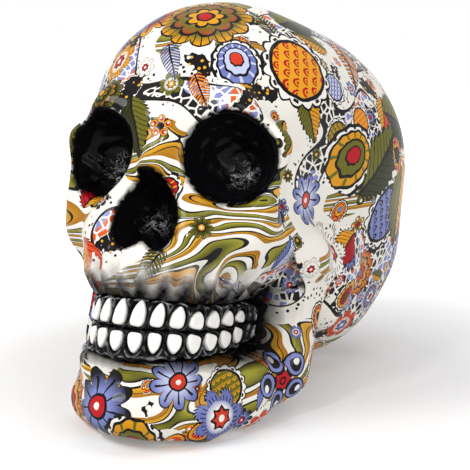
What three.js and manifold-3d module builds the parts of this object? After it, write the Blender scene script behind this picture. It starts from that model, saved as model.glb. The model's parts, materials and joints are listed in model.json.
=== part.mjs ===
// A decorative resin skull in millimetres, resting on its jaw corners and the back of its head.
// The skull's own frame has +Z up, its face towards -Y and its origin midway between the ears.
// The whole is then leaned back until the jaw and the back of the head touch the same surface.
import * as THREE from "three";
import { mergeVertices } from "three/addons/utils/BufferGeometryUtils.js";
import Module from "manifold-3d";

const wasm = await Module();
wasm.setup();

// Driving sizes of the head: half of the vault's breadth, length and height.
const halfBreadth = 45;
const halfLength = 60;
const halfHeight = 45;

// Eye sockets and nose opening
const orbitHalfWidth = 12.7;
const orbitHalfHeight = 12.4;
const orbitDepth = 17;
const noseHalfWidth = 5.6;
const noseHalfHeight = 7.6;
const noseDepth = 15;
const noseHalfSpacing = 4.2;
const noseDrop = 13.2;
const noseForward = 4.5;
const noseTopHalfWidth = 5;
const noseTopHalfHeight = 8.6;
const noseTopDepth = 16.5;
const noseTopHalfSpacing = 1.3;
const noseTopDrop = 7;
const noseTopForward = 0.3;
const liningThickness = 0.9;
const liningClearance = 0.3;

// Teeth, from the middle of the mouth to the back, and the gums that hold them
const toothWidths = [4.7, 4.4, 4.8, 5.2, 6.0, 6.4, 6.0];
const upperToothHeights = [7.4, 6.8, 6.3, 5.1, 5.0, 4.4, 3.6];
const lowerToothHeights = [5.7, 5.7, 5.4, 5.3, 4.9, 5.1, 4.7];
const toothSpace = 1.15;
const toothThickness = 2;
const biteGap = 0.8;
const gumFrontHeight = 8.7;
const gumBackHeight = 6.6;
const gumDepth = 6.5;
const gumSeam = 0.15;
const gumRounding = 0.6;
const mouthCutFront = 9;
const gumEndReach = 2.2;

// Fits between the pieces
const seatClearance = 0.3;
const jawSeamClearance = 0.45;

// Feet
const groundAway = 1;
const padRadius = 3.6;
const padThickness = 1.6;
const padStand = 0.6;

// Fineness of the curved surfaces, in steps
const acrossSteps = 26;
const faceSteps = 13;
const backSteps = 13;
const lowerSteps = 24;
const upperSteps = 8;
const ballSteps = 18;
const gumSteps = 26;
const padSteps = 24;
const settleRounds = 4;
const leanRounds = 30;

// The tip of the nasal bones, above the nose opening.
const nasalTipShares = [0, -1.092, 0.067];

// Places and radii of the forms that swell into the cranium, on the left side of the middle.
// A place is in shares of halfBreadth, halfLength and halfHeight, and so are a ball's three radii.
// A limb runs between two places, with a radius at each end in shares of halfBreadth. So is a blend.
const craniumShares = [
  { ball: [0, 0.075, 0.645], radii: [1, 1, 1], blend: 0 },
  { ball: [0, -0.4, 0.72], radii: [0.83, 0.62, 0.78], blend: 0.31 },
  { ball: [0.2, 0.31, 0.7], radii: [0.87, 0.7, 0.91], blend: 0.4 },
  { ball: [0, 0.64, 0.13], radii: [1, 0.52, 0.7], blend: 0.35 },
  { ball: [0, 0.417, -0.28], radii: [0.85, 0.6, 0.52], blend: 0.31 },
  { hollow: [1.133, -0.6, 0.222], radii: [0.289, 0.3, 0.489], blend: 0.267 },
  { ball: [0, -0.533, 0.044], radii: [0.733, 0.4, 0.622], blend: 0.178 },
  { limb: [[0.111, -0.95, 0.444], [0.422, -0.95, 0.556]], ends: [0.111, 0.08], blend: 0.2 },
  { limb: [[0.422, -0.95, 0.556], [0.675, -0.85, 0.378]], ends: [0.08, 0.073], blend: 0.178 },
  { ball: [0, -0.908, 0.444], radii: [0.222, 0.133, 0.2], blend: 0.178 },
  { limb: [[0.7, -0.85, 0.378], [0.665, -0.833, 0]], ends: [0.071, 0.076], blend: 0.133 },
  { limb: [[0.356, -0.9, -0.222], [0.544, -0.808, -0.2]], ends: [0.122, 0.111], blend: 0.178 },
  { limb: [[0.567, -0.767, -0.2], [0.767, -0.4, -0.2]], ends: [0.111, 0.1], blend: 0.267 },
  { limb: [[0.767, -0.4, -0.2], [0.8, -0.067, -0.2]], ends: [0.1, 0.111], blend: 0.267 },
  { limb: [[0, -0.95, 0.356], nasalTipShares], ends: [0.089, 0.076], blend: 0.156 },
  { limb: [[0.111, -0.933, 0.267], [0.3, -0.95, -0.311]], ends: [0.1, 0.133], blend: 0.156 },
  { ball: [0, -0.667, -0.444], radii: [0.489, 0.4, 0.378], blend: 0.178 },
  { ball: [0, -0.733, -0.667], radii: [0.444, 0.317, 0.244], blend: 0.133 },
  { limb: [[0.756, 0.067, -0.133], [0.711, 0.067, -0.444]], ends: [0.178, 0.156], blend: 0.222 },
];

// The corner of the jaw's lower border, which the skull rests on.
const jawCornerShares = [0.356, -0.683, -1.3];

// The same for the lower jaw: its border, the ridge under the teeth, the chin and the upright branch.
const jawShares = [
  { limb: [[0, -0.845, -1.333], [0.16, -0.82, -1.333]], ends: [0.162, 0.16], blend: 0 },
  { limb: [[0.16, -0.82, -1.333], jawCornerShares], ends: [0.16, 0.147], blend: 0.133 },
  { limb: [jawCornerShares, [0.511, -0.467, -1.178]], ends: [0.147, 0.137], blend: 0.2 },
  { limb: [[0.511, -0.467, -1.178], [0.622, -0.233, -1.011]], ends: [0.137, 0.12], blend: 0.2 },
  { limb: [[0, -0.925, -1.067], [0.235, -0.87, -1.067]], ends: [0.105, 0.105], blend: 0.17 },
  { limb: [[0.235, -0.87, -1.067], [0.467, -0.55, -0.956]], ends: [0.105, 0.111], blend: 0.17 },
  { limb: [[0.467, -0.55, -0.956], [0.622, -0.233, -0.844]], ends: [0.111, 0.111], blend: 0.2 },
  { ball: [0, -0.9, -1.367], radii: [0.244, 0.117, 0.144], blend: 0.111 },
  { limb: [[0.656, -0.233, -0.956], [0.756, -0.15, -0.178]], ends: [0.122, 0.111], blend: 0.22 },
  { limb: [[0.6, -0.367, -0.8], [0.711, -0.333, -0.267]], ends: [0.111, 0.089], blend: 0.22 },
  { ball: [0.533, -0.3, -0.578], radii: [0.178, 0.2, 0.4], blend: 0.22 },
];

// The line where the fronts of the upper and lower teeth meet, from the middle to the back.
const biteLineShares = [
  [0, -1.055, -0.887],
  [0.2, -1.018, -0.872],
  [0.367, -0.901, -0.845],
  [0.447, -0.72, -0.786],
  [0.48, -0.5, -0.697],
  [0.486, -0.4, -0.655],
];

// The middle of a socket, and its turn in degrees.
const orbitShares = [0.474, -1, 0.241];
const orbitTurn = 4;

// How far the head's grid reaches, in the same shares, and its outer line beyond that.
const reachShares = {
  side: 1.22,
  front: -1.3,
  faceBack: -0.5,
  back: 1.35,
  bottom: -1.65,
  brow: 0.62,
  top: 1.85,
};
const outerLineShare = 0.1;

// A tooth's outline in shares of its width and height, from the gum's side to the biting edge.
const toothOutlineShares = [
  [-0.16, 1],
  [-0.4, 0.8],
  [-0.5, 0.45],
  [-0.44, 0.1],
  [-0.3, 0],
  [0.3, 0],
  [0.44, 0.1],
  [0.5, 0.45],
  [0.4, 0.8],
  [0.16, 1],
];
const toothCrownShare = 0.62;
const gumShoulderShare = 0.7;

// How far a vertex may settle, in shares of its cell, and the probe for the slope there.
const settleShare = 0.66;
const probeShare = 0.02;
const leastSlopeShare = 0.04;
const ringShare = 0.6;
const toothShoulderShare = 0.3;

const place = (shares) => new THREE.Vector3(
  shares[0] * halfBreadth,
  shares[1] * halfLength,
  shares[2] * halfHeight,
);

// Paint and material of each kind of piece
const paint = (color, roughness) => new THREE.MeshStandardMaterial({ color, roughness, metalness: 0 });
const glazedResin = paint("#f1ece2", 0.22);
const blackEnamel = paint("#17161a", 0.15);
const whiteEnamel = paint("#f5f2ea", 0.2);
const greyFoam = paint("#8d8c88", 0.9);

// Distance fields: below zero inside, and roughly the distance to the surface near it.
function ballField(at, radii, x, y, z) {
  const px = (x - at.x) / radii.x;
  const py = (y - at.y) / radii.y;
  const pz = (z - at.z) / radii.z;
  const reach = Math.hypot(px, py, pz);
  const slope = Math.hypot(px / radii.x, py / radii.y, pz / radii.z);
  return slope > 0 ? (reach * (reach - 1)) / slope : -Math.min(radii.x, radii.y, radii.z);
}

function limbField(from, to, ends, x, y, z) {
  const ax = to.x - from.x;
  const ay = to.y - from.y;
  const az = to.z - from.z;
  const along = ((x - from.x) * ax + (y - from.y) * ay + (z - from.z) * az) / (ax * ax + ay * ay + az * az);
  const t = Math.min(1, Math.max(0, along));
  const away = Math.hypot(x - from.x - t * ax, y - from.y - t * ay, z - from.z - t * az);
  return away - ends[0] - (ends[1] - ends[0]) * t;
}

function softJoin(a, b, blend) {
  if (blend === 0) return Math.min(a, b);
  const h = Math.max(blend - Math.abs(a - b), 0) / blend;
  return Math.min(a, b) - (h * h * blend) / 4;
}

// One field for a table of shares, the same on both sides of the middle.
function fieldOf(shares) {
  const forms = shares.map((form) => ({
    at: place(form.ball ?? form.hollow ?? form.limb[0]),
    to: form.limb && place(form.limb[1]),
    radii: form.radii && place(form.radii),
    ends: form.ends && form.ends.map((end) => end * halfBreadth),
    blend: form.blend * halfBreadth,
    cuts: Boolean(form.hollow),
  }));
  return (sideways, y, z) => {
    const x = Math.abs(sideways);
    let total = Infinity;
    for (const form of forms) {
      const near = form.to
        ? limbField(form.at, form.to, form.ends, x, y, z)
        : ballField(form.at, form.radii, x, y, z);
      if (form.cuts) total = -softJoin(-total, near, form.blend);
      else total = total === Infinity ? near : softJoin(total, near, form.blend);
    }
    return total;
  };
}

const craniumField = fieldOf(craniumShares);
const jawField = fieldOf(jawShares);

// Grid lines, closer together in the face than behind it.
const spread = (from, to, steps) => Array.from({ length: steps }, (_, i) => from + ((to - from) * i) / steps);
const outerLine = outerLineShare * halfBreadth;
const gridLines = {
  x: [
    -reachShares.side * halfBreadth - outerLine,
    ...spread(-reachShares.side * halfBreadth, reachShares.side * halfBreadth, acrossSteps),
    reachShares.side * halfBreadth,
    reachShares.side * halfBreadth + outerLine,
  ],
  y: [
    reachShares.front * halfLength - outerLine,
    ...spread(reachShares.front * halfLength, reachShares.faceBack * halfLength, faceSteps),
    ...spread(reachShares.faceBack * halfLength, reachShares.back * halfLength, backSteps),
    reachShares.back * halfLength,
    reachShares.back * halfLength + outerLine,
  ],
  z: [
    reachShares.bottom * halfHeight - outerLine,
    ...spread(reachShares.bottom * halfHeight, reachShares.brow * halfHeight, lowerSteps),
    ...spread(reachShares.brow * halfHeight, reachShares.top * halfHeight, upperSteps),
    reachShares.top * halfHeight,
    reachShares.top * halfHeight + outerLine,
  ],
};

// A grid cell's corners are numbered by the bits x, y and z, and its edges and faces by those corners.
const cellEdges = [
  [0, 1], [2, 3], [4, 5], [6, 7],
  [0, 2], [1, 3], [4, 6], [5, 7],
  [0, 4], [1, 5], [2, 6], [3, 7],
];
const cellFaces = [
  [0, 2, 6, 4], [1, 3, 7, 5],
  [0, 1, 5, 4], [2, 3, 7, 6],
  [0, 1, 3, 2], [4, 5, 7, 6],
];
const edgeBetween = (a, b) => cellEdges.findIndex((edge) => edge.includes(a) && edge.includes(b));
const faceEdges = cellFaces.map((face) => face.map((corner, i) => edgeBetween(corner, face[(i + 1) % 4])));

// The groups of a cell's crossed edges that lie on one sheet of the surface.
function sheetsOf(inside) {
  const group = cellEdges.map(([a, b], i) => (inside[a] !== inside[b] ? i : -1));
  const join = (a, b) => {
    const [keep, drop] = [group[a], group[b]];
    group.forEach((value, i) => {
      if (value === drop) group[i] = keep;
    });
  };
  cellFaces.forEach((face, f) => {
    const crossed = faceEdges[f].filter((edge) => group[edge] >= 0);
    if (crossed.length === 2) join(crossed[0], crossed[1]);
    if (crossed.length === 4) {
      face.forEach((corner, i) => {
        if (inside[corner]) join(faceEdges[f][i], faceEdges[f][(i + 3) % 4]);
      });
    }
  });
  return group;
}

// Moves a point along the field's slope onto its surface, but no further than the given reach.
function settle(field, point, reach) {
  const start = point.clone();
  const probe = reach * probeShare;
  for (let round = 0; round < settleRounds; round++) {
    const value = field(point.x, point.y, point.z);
    const slope = new THREE.Vector3(
      field(point.x + probe, point.y, point.z) - field(point.x - probe, point.y, point.z),
      field(point.x, point.y + probe, point.z) - field(point.x, point.y - probe, point.z),
      field(point.x, point.y, point.z + probe) - field(point.x, point.y, point.z - probe),
    ).divideScalar(2 * probe);
    const steep = slope.lengthSq();
    if (steep < leastSlopeShare) break;
    point.addScaledVector(slope, -value / steep);
  }
  if (point.distanceTo(start) > reach) point.copy(start);
  return point;
}

// The closed surface where a field is zero: one vertex for each sheet of each crossed cell,
// and two triangles round each grid edge that passes through the surface.
function surfaceOf(field, lines) {
  const counts = [lines.x.length, lines.y.length, lines.z.length];
  const index = (i, j, k) => (k * counts[1] + j) * counts[0] + i;
  const values = new Float64Array(counts[0] * counts[1] * counts[2]);
  for (let k = 0; k < counts[2]; k++) {
    for (let j = 0; j < counts[1]; j++) {
      for (let i = 0; i < counts[0]; i++) {
        values[index(i, j, k)] = field(lines.x[i], lines.y[j], lines.z[k]);
      }
    }
  }
  const points = [];
  const sheetPoint = new Map();
  for (let k = 0; k < counts[2] - 1; k++) {
    for (let j = 0; j < counts[1] - 1; j++) {
      for (let i = 0; i < counts[0] - 1; i++) {
        const corners = [0, 1, 2, 3, 4, 5, 6, 7].map((c) => [i + (c & 1), j + ((c >> 1) & 1), k + (c >> 2)]);
        const levels = corners.map(([a, b, c]) => values[index(a, b, c)]);
        const inside = levels.map((level) => level < 0);
        if (inside.every((value) => value === inside[0])) continue;
        const group = sheetsOf(inside);
        const reach = ((lines.x[i + 1] - lines.x[i] + lines.y[j + 1] - lines.y[j]) / 2) * settleShare;
        for (const sheet of new Set(group)) {
          if (sheet < 0) continue;
          const middle = new THREE.Vector3();
          let crossings = 0;
          cellEdges.forEach(([a, b], edge) => {
            if (group[edge] !== sheet) return;
            const share = levels[a] / (levels[a] - levels[b]);
            const [from, to] = [corners[a], corners[b]].map(
              ([p, q, r]) => new THREE.Vector3(lines.x[p], lines.y[q], lines.z[r]),
            );
            middle.add(from.lerp(to, share));
            crossings += 1;
          });
          settle(field, middle.divideScalar(crossings), reach);
          cellEdges.forEach((_, edge) => {
            if (group[edge] === sheet) sheetPoint.set(index(i, j, k) * 12 + edge, points.length);
          });
          points.push(middle);
        }
      }
    }
  }
  const faces = [];
  const addQuad = (corners, flip) => {
    const [a, b, c, d] = flip ? [...corners].reverse() : corners;
    const evenCut = points[a].distanceTo(points[c]) < points[b].distanceTo(points[d]);
    faces.push(...(evenCut ? [a, b, c, a, c, d] : [a, b, d, b, c, d]));
  };
  // For a grid edge along one axis, the four cells round it and that edge's number in each of them.
  const around = [
    [[[0, -1, -1], 3], [[0, 0, -1], 2], [[0, 0, 0], 0], [[0, -1, 0], 1]],
    [[[-1, 0, -1], 7], [[-1, 0, 0], 5], [[0, 0, 0], 4], [[0, 0, -1], 6]],
    [[[-1, -1, 0], 11], [[0, -1, 0], 10], [[0, 0, 0], 8], [[-1, 0, 0], 9]],
  ];
  for (let k = 1; k < counts[2] - 1; k++) {
    for (let j = 1; j < counts[1] - 1; j++) {
      for (let i = 1; i < counts[0] - 1; i++) {
        const here = values[index(i, j, k)] < 0;
        const steps = [[1, 0, 0], [0, 1, 0], [0, 0, 1]];
        steps.forEach(([a, b, c], axis) => {
          const there = values[index(i + a, j + b, k + c)] < 0;
          if (here === there) return;
          const corners = around[axis].map(([cell, edge]) =>
            sheetPoint.get(index(i + cell[0], j + cell[1], k + cell[2]) * 12 + edge),
          );
          addQuad(corners, !here);
        });
      }
    }
  }
  return bodyOf(new Float32Array(points.flatMap((point) => point.toArray())), new Uint32Array(faces));
}

// Solids for cutting and joining
function bodyOf(vertProperties, triVerts) {
  return new wasm.Manifold(new wasm.Mesh({ numProp: 3, vertProperties, triVerts }));
}

function solidOf(geometry) {
  geometry.deleteAttribute("normal");
  geometry.deleteAttribute("uv");
  const merged = mergeVertices(geometry);
  return bodyOf(new Float32Array(merged.attributes.position.array), new Uint32Array(merged.index.array));
}

// A closed solid through rings of points that all have as many points, with a flat fan at each end.
function loft(rings) {
  const around = rings[0].length;
  const faces = [];
  for (let r = 0; r + 1 < rings.length; r++) {
    for (let i = 0; i < around; i++) {
      const next = (i + 1) % around;
      const [a, b] = [r * around + i, r * around + next];
      faces.push(a, b, b + around, a, b + around, a + around);
    }
  }
  const last = (rings.length - 1) * around;
  for (let i = 1; i + 1 < around; i++) {
    faces.push(0, i + 1, i);
    faces.push(last, last + i, last + i + 1);
  }
  const points = rings.flat().flatMap((point) => point.toArray());
  const solid = bodyOf(new Float32Array(points), new Uint32Array(faces));
  if (solid.volume() > 0) return solid;
  const turned = faces.map((_, i) => faces[i - (i % 3) + 2 - (i % 3)]);
  return bodyOf(new Float32Array(points), new Uint32Array(turned));
}

// A ball with three radii, turned about the upright axis, on both sides of the middle.
function ballPair(at, radii, turn) {
  const ball = (side) => {
    const geometry = new THREE.SphereGeometry(1, ballSteps, Math.round(ballSteps * ringShare));
    geometry.scale(...radii).rotateZ(THREE.MathUtils.degToRad(side * turn));
    return solidOf(geometry.translate(side * at.x, at.y, at.z));
  };
  return [ball(1), ball(-1)];
}

// The lining of a hollow: a thin shell just inside it, as deep as the surface it opens through.
function liningOf(balls, surface) {
  const outer = balls(liningClearance);
  const inner = balls(liningClearance + liningThickness);
  return outer.subtract(inner).intersect(surface);
}

const orbitBalls = (inset) => ballPair(
  place(orbitShares),
  [orbitHalfWidth - inset, orbitDepth - inset, orbitHalfHeight - inset],
  orbitTurn,
);

// How far forward the face reaches at a place beside the middle and above the ears.
function faceFront(x, z) {
  let [outside, inside] = [reachShares.front * halfLength, reachShares.faceBack * halfLength];
  for (let round = 0; round < settleRounds * settleRounds; round++) {
    const y = (outside + inside) / 2;
    if (craniumField(x, y, z) < 0) inside = y;
    else outside = y;
  }
  return inside;
}

// The nose's lower lobes and its upper lobes hang below the nasal bones, ahead of the face.
const nasalTip = place(nasalTipShares);
const noseRise = nasalTip.z - noseDrop;
const noseAt = new THREE.Vector3(noseHalfSpacing, faceFront(noseHalfSpacing, noseRise) - noseForward, noseRise);
const noseTopAt = new THREE.Vector3(noseTopHalfSpacing, noseAt.y - noseTopForward, nasalTip.z - noseTopDrop);
const noseBalls = (inset) => [
  ...ballPair(noseAt, [noseHalfWidth - inset, noseDepth - inset, noseHalfHeight - inset], 0),
  ...ballPair(noseTopAt, [noseTopHalfWidth - inset, noseTopDepth - inset, noseTopHalfHeight - inset], 0),
].reduce((sum, ball) => sum.add(ball));

// The line of the bite from the back of the right side to the back of the left side.
const leftBite = biteLineShares.map(place);
const rightBite = leftBite.slice(1).reverse().map((point) => new THREE.Vector3(-point.x, point.y, point.z));
const bite = new THREE.CatmullRomCurve3([...rightBite, ...leftBite]);
const biteLength = bite.getLength();

// A place on the bite line, so many millimetres left of the middle, with its outward direction.
function biteFrame(left) {
  const u = THREE.MathUtils.clamp(0.5 + left / biteLength, 0, 1);
  const tangent = bite.getTangentAt(u).setZ(0).normalize();
  return { at: bite.getPointAt(u), along: tangent, outward: new THREE.Vector3(tangent.y, -tangent.x, 0) };
}

const gumBand = (up) => mouthBand(up, 0, -toothThickness - seatClearance);
const mouthCutters = () => [1, -1].map((up) => mouthBand(up, seatClearance, mouthCutFront));

const rowLength = toothWidths.reduce((sum, width) => sum + width + toothSpace, 0);

// A band along the bite line, upwards (up = 1) or downwards (up = -1), grown by a clearance,
// with its front face so far out from the fronts of the teeth.
function mouthBand(up, grow, front) {
  const reach = rowLength + gumEndReach + grow;
  const rings = Array.from({ length: gumSteps + 1 }, (_, i) => {
    const left = -reach + (2 * reach * i) / gumSteps;
    const { at, outward } = biteFrame(left);
    const tall = THREE.MathUtils.lerp(gumFrontHeight, gumBackHeight, Math.abs(left) / reach);
    const section = [
      [front, gumSeam - grow],
      [front, tall * gumShoulderShare],
      [front - gumRounding, tall + grow],
      [-gumDepth - grow, tall + grow],
      [-gumDepth - grow, gumSeam - grow],
    ];
    return section.map(([out, rise]) =>
      at.clone().addScaledVector(outward, out).add(new THREE.Vector3(0, 0, up * rise)),
    );
  });
  return loft(rings);
}

// A tooth in front of its gum, with its biting edge at the bite gap and a domed crown.
function tooth(up, side, number, height) {
  const nearer = toothWidths.slice(0, number);
  const before = nearer.reduce((sum, width) => sum + width + toothSpace, toothSpace / 2);
  const width = toothWidths[number];
  const { at, along, outward } = biteFrame(side * (before + width / 2));
  const layers = [
    { out: -toothThickness, size: 1 },
    { out: -toothThickness * toothShoulderShare, size: 1 },
    { out: 0, size: toothCrownShare },
  ];
  const rings = layers.map(({ out, size }) =>
    toothOutlineShares.map(([across, tall]) => {
      const rise = biteGap + height / 2 + (tall - 1 / 2) * height * size;
      return at
        .clone()
        .addScaledVector(outward, out)
        .addScaledVector(along, across * width * size)
        .add(new THREE.Vector3(0, 0, up * rise));
    }),
  );
  return loft(rings);
}

// Where a solid reaches lowest when the head leans back by an angle, and how low that is.
function lowest(solid, lean) {
  const mesh = solid.getMesh();
  const best = { low: Infinity };
  for (let i = 0; i < mesh.vertProperties.length; i += mesh.numProp) {
    const [, y, z] = mesh.vertProperties.subarray(i, i + 3);
    const low = z * Math.cos(lean) - y * Math.sin(lean);
    if (low < best.low) Object.assign(best, { low, y, z });
  }
  return best;
}

// Bodies of the head before they are cut
const wholeCranium = surfaceOf(craniumField, gridLines);
const wholeJaw = surfaceOf(jawField, gridLines);
const seamForm = surfaceOf((x, y, z) => craniumField(x, y, z) - jawSeamClearance, gridLines);

// The lean at which the jaw and the back of the head reach equally low.
let [uprightLean, fullLean] = [0, Math.PI / 4];
for (let round = 0; round < leanRounds; round++) {
  const lean = (uprightLean + fullLean) / 2;
  if (lowest(wholeJaw, lean).low < lowest(wholeCranium, lean).low) uprightLean = lean;
  else fullLean = lean;
}
const restLean = (uprightLean + fullLean) / 2;
const ground = lowest(wholeJaw, restLean).low + groundAway - padStand;

// Everything below the ground-off flats, leaned into the head's own frame.
const flatHeight = ground + padStand;
const span = 4 * halfLength; // well past the head on every side
const underside = solidOf(
  new THREE.BoxGeometry(span, span, span).translate(0, 0, flatHeight - span / 2).rotateX(restLean),
);

// A foot pad in the leaned frame, under a place in the head's own frame.
function padAt(point, grow) {
  const y = point.y * Math.cos(restLean) + point.z * Math.sin(restLean);
  const pad = new THREE.CylinderGeometry(padRadius + grow, padRadius + grow, padThickness + grow, padSteps);
  pad.rotateX(Math.PI / 2).translate(point.x, y, ground + (padThickness + grow) / 2);
  return pad;
}

const jawCorner = place(jawCornerShares);
const heel = lowest(wholeCranium, restLean);
const padPoints = [
  ["left_jaw_pad", jawCorner],
  ["right_jaw_pad", new THREE.Vector3(-jawCorner.x, jawCorner.y, jawCorner.z)],
  ["heel_pad", new THREE.Vector3(0, heel.y, heel.z)],
];

const cutAll = (solid, cutters) => cutters.reduce((rest, cutter) => rest.subtract(cutter), solid);
const padPockets = padPoints.map(([, point]) => solidOf(padAt(point, seatClearance).rotateX(restLean)));

const skull = new THREE.Group();
const standing = new THREE.Group();
standing.add(skull);
skull.rotation.x = -restLean;

function addMesh(group, name, solid, material) {
  const mesh = solid.getMesh();
  const geometry = new THREE.BufferGeometry();
  const count = mesh.vertProperties.length / mesh.numProp;
  const points = new Float32Array(count * 3);
  for (let i = 0; i < count; i++) {
    points.set(mesh.vertProperties.subarray(i * mesh.numProp, i * mesh.numProp + 3), i * 3);
  }
  geometry.setAttribute("position", new THREE.BufferAttribute(points, 3));
  geometry.setIndex(new THREE.BufferAttribute(new Uint32Array(mesh.triVerts), 1));
  geometry.computeVertexNormals();
  const piece = new THREE.Mesh(geometry, material);
  piece.name = name;
  group.add(piece);
}

// Cranium, with its sockets, nose and upper gum seat cut in
addMesh(
  skull,
  "cranium",
  cutAll(wholeCranium, [...orbitBalls(0), noseBalls(0), ...mouthCutters(), underside, ...padPockets]),
  glazedResin,
);

// Lower jaw, clear of the cranium and with the lower gum seat cut in
addMesh(
  skull,
  "mandible",
  cutAll(wholeJaw, [seamForm, ...mouthCutters(), underside, ...padPockets]),
  glazedResin,
);

// Gums and teeth
addMesh(skull, "upper_gum", gumBand(1), blackEnamel);
addMesh(skull, "lower_gum", gumBand(-1), blackEnamel);
for (const [row, up, heights] of [["upper", 1, upperToothHeights], ["lower", -1, lowerToothHeights]]) {
  for (const [sideName, side] of [["left", 1], ["right", -1]]) {
    heights.forEach((height, number) => {
      const name = row + "_" + sideName + "_tooth_" + (number + 1);
      addMesh(skull, name, tooth(up, side, number, height), whiteEnamel);
    });
  }
}

// Black linings of the eye sockets and the nose
["left_orbit_lining", "right_orbit_lining"].forEach((name, i) => {
  addMesh(skull, name, liningOf((inset) => orbitBalls(inset)[i], wholeCranium), blackEnamel);
});
addMesh(skull, "nasal_lining", liningOf(noseBalls, wholeCranium), blackEnamel);

// Foot pads
for (const [name, point] of padPoints) {
  addMesh(standing, name, solidOf(padAt(point, 0)), greyFoam);
}

// The part's frame: the middle of its footprint, on the surface it stands on.
const bounds = new THREE.Box3().setFromObject(standing, true);
const middle = bounds.getCenter(new THREE.Vector3());
standing.position.set(-middle.x, -middle.y, -bounds.min.z);

const part = new THREE.Group();
part.add(standing);

export default part;
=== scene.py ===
import json
import math

import bpy
import numpy as np
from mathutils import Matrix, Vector

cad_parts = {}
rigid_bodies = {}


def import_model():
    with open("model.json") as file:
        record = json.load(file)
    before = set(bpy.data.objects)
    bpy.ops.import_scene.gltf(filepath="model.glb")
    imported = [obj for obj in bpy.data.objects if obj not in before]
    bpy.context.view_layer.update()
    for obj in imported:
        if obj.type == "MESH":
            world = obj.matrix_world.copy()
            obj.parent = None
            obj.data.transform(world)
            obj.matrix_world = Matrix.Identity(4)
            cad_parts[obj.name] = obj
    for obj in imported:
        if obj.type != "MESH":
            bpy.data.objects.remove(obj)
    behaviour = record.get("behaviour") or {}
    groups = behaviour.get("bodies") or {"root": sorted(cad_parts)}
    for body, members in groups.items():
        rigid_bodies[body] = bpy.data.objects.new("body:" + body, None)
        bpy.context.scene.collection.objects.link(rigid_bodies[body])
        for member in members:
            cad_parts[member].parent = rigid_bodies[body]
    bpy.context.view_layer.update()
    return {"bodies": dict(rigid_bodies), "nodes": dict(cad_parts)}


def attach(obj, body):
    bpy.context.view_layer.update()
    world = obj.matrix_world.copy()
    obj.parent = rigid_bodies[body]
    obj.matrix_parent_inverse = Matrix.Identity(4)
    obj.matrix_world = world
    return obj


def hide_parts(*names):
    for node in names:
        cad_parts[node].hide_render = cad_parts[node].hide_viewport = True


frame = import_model()
root = next(iter(frame["bodies"]))
mm = 0.001
real = np.float32

# Head: sizes and forms
head = {
    "halfBreadth": 45.0,        # mm, half of the vault's breadth, length and height
    "halfLength": 60.0,
    "halfHeight": 45.0,
    "leanDegrees": 22.1025,     # how far the head leans back at rest
    "shift": (0.0, 1.998, 47.099),
    "flatHeight": 0.6,          # mm, the ground-off flats stand this far above the floor
    "gridStep": 0.86,           # mm between grid lines of the skin
    "coarseEvery": 5,           # grid lines to a line of the first, coarse grid
    "jawBlend": 4.0,            # mm, how softly the lower jaw runs into the cranium
    "orbitAt": (0.474, -1.0, 0.241),    # of half the vault's sizes; the radii and the nose are in mm
    "orbitRadii": (12.7, 17.0, 12.4),
    "orbitTurn": 4.0,
    "orbitLip": 2.4,            # mm, rounding of the sockets' rims
    "noseAt": (4.9, -65.77, -9.8),
    "noseRadii": (4.6, 15.0, 7.5),
    "noseTopAt": (0.6, -66.07, -4.2),
    "noseTopRadii": (4.9, 16.5, 8.3),
    "noseBlend": 5.0,
    "noseLip": 1.5,
    "heelBlend": 0.5,           # mm, rounding of the edge of the ground-off flats
    "low": (-52.3, -74.0, -72.5),       # mm, the box that is searched for the surface
    "high": (52.3, 80.0, 80.0),
}

craniumForms = [
    {"ball": (0, 0.075, 0.645), "radii": (1, 1, 1), "blend": 0},
    {"ball": (0, -0.4, 0.72), "radii": (0.83, 0.62, 0.78), "blend": 0.31},
    {"ball": (0.2, 0.31, 0.7), "radii": (0.87, 0.7, 0.91), "blend": 0.4},
    {"ball": (0, 0.64, 0.13), "radii": (1, 0.52, 0.7), "blend": 0.35},
    {"ball": (0, 0.417, -0.28), "radii": (0.85, 0.6, 0.52), "blend": 0.31},
    {"hollow": (1.133, -0.6, 0.222), "radii": (0.289, 0.3, 0.489), "blend": 0.267},
    {"ball": (0, -0.533, 0.044), "radii": (0.733, 0.4, 0.622), "blend": 0.178},
    {"limb": ((0.111, -0.95, 0.444), (0.422, -0.95, 0.556)), "ends": (0.111, 0.08), "blend": 0.2},
    {"limb": ((0.422, -0.95, 0.556), (0.675, -0.85, 0.378)), "ends": (0.08, 0.073), "blend": 0.178},
    {"ball": (0, -0.908, 0.444), "radii": (0.222, 0.133, 0.2), "blend": 0.178},
    {"limb": ((0.7, -0.85, 0.378), (0.665, -0.833, 0)), "ends": (0.071, 0.076), "blend": 0.133},
    {"limb": ((0.356, -0.9, -0.222), (0.544, -0.808, -0.2)), "ends": (0.122, 0.111), "blend": 0.178},
    {"limb": ((0.567, -0.767, -0.2), (0.767, -0.4, -0.2)), "ends": (0.111, 0.1), "blend": 0.267},
    {"limb": ((0.767, -0.4, -0.2), (0.8, -0.067, -0.2)), "ends": (0.1, 0.111), "blend": 0.267},
    {"limb": ((0, -0.95, 0.356), (0, -1.092, 0.067)), "ends": (0.089, 0.076), "blend": 0.156},
    {"limb": ((0.111, -0.933, 0.267), (0.3, -0.95, -0.311)), "ends": (0.1, 0.133), "blend": 0.156},
    {"ball": (0, -0.667, -0.444), "radii": (0.489, 0.4, 0.378), "blend": 0.178},
    {"ball": (0, -0.733, -0.667), "radii": (0.444, 0.317, 0.244), "blend": 0.133},
    {"limb": ((0.756, 0.067, -0.133), (0.711, 0.067, -0.444)), "ends": (0.178, 0.156), "blend": 0.222},
]

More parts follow.
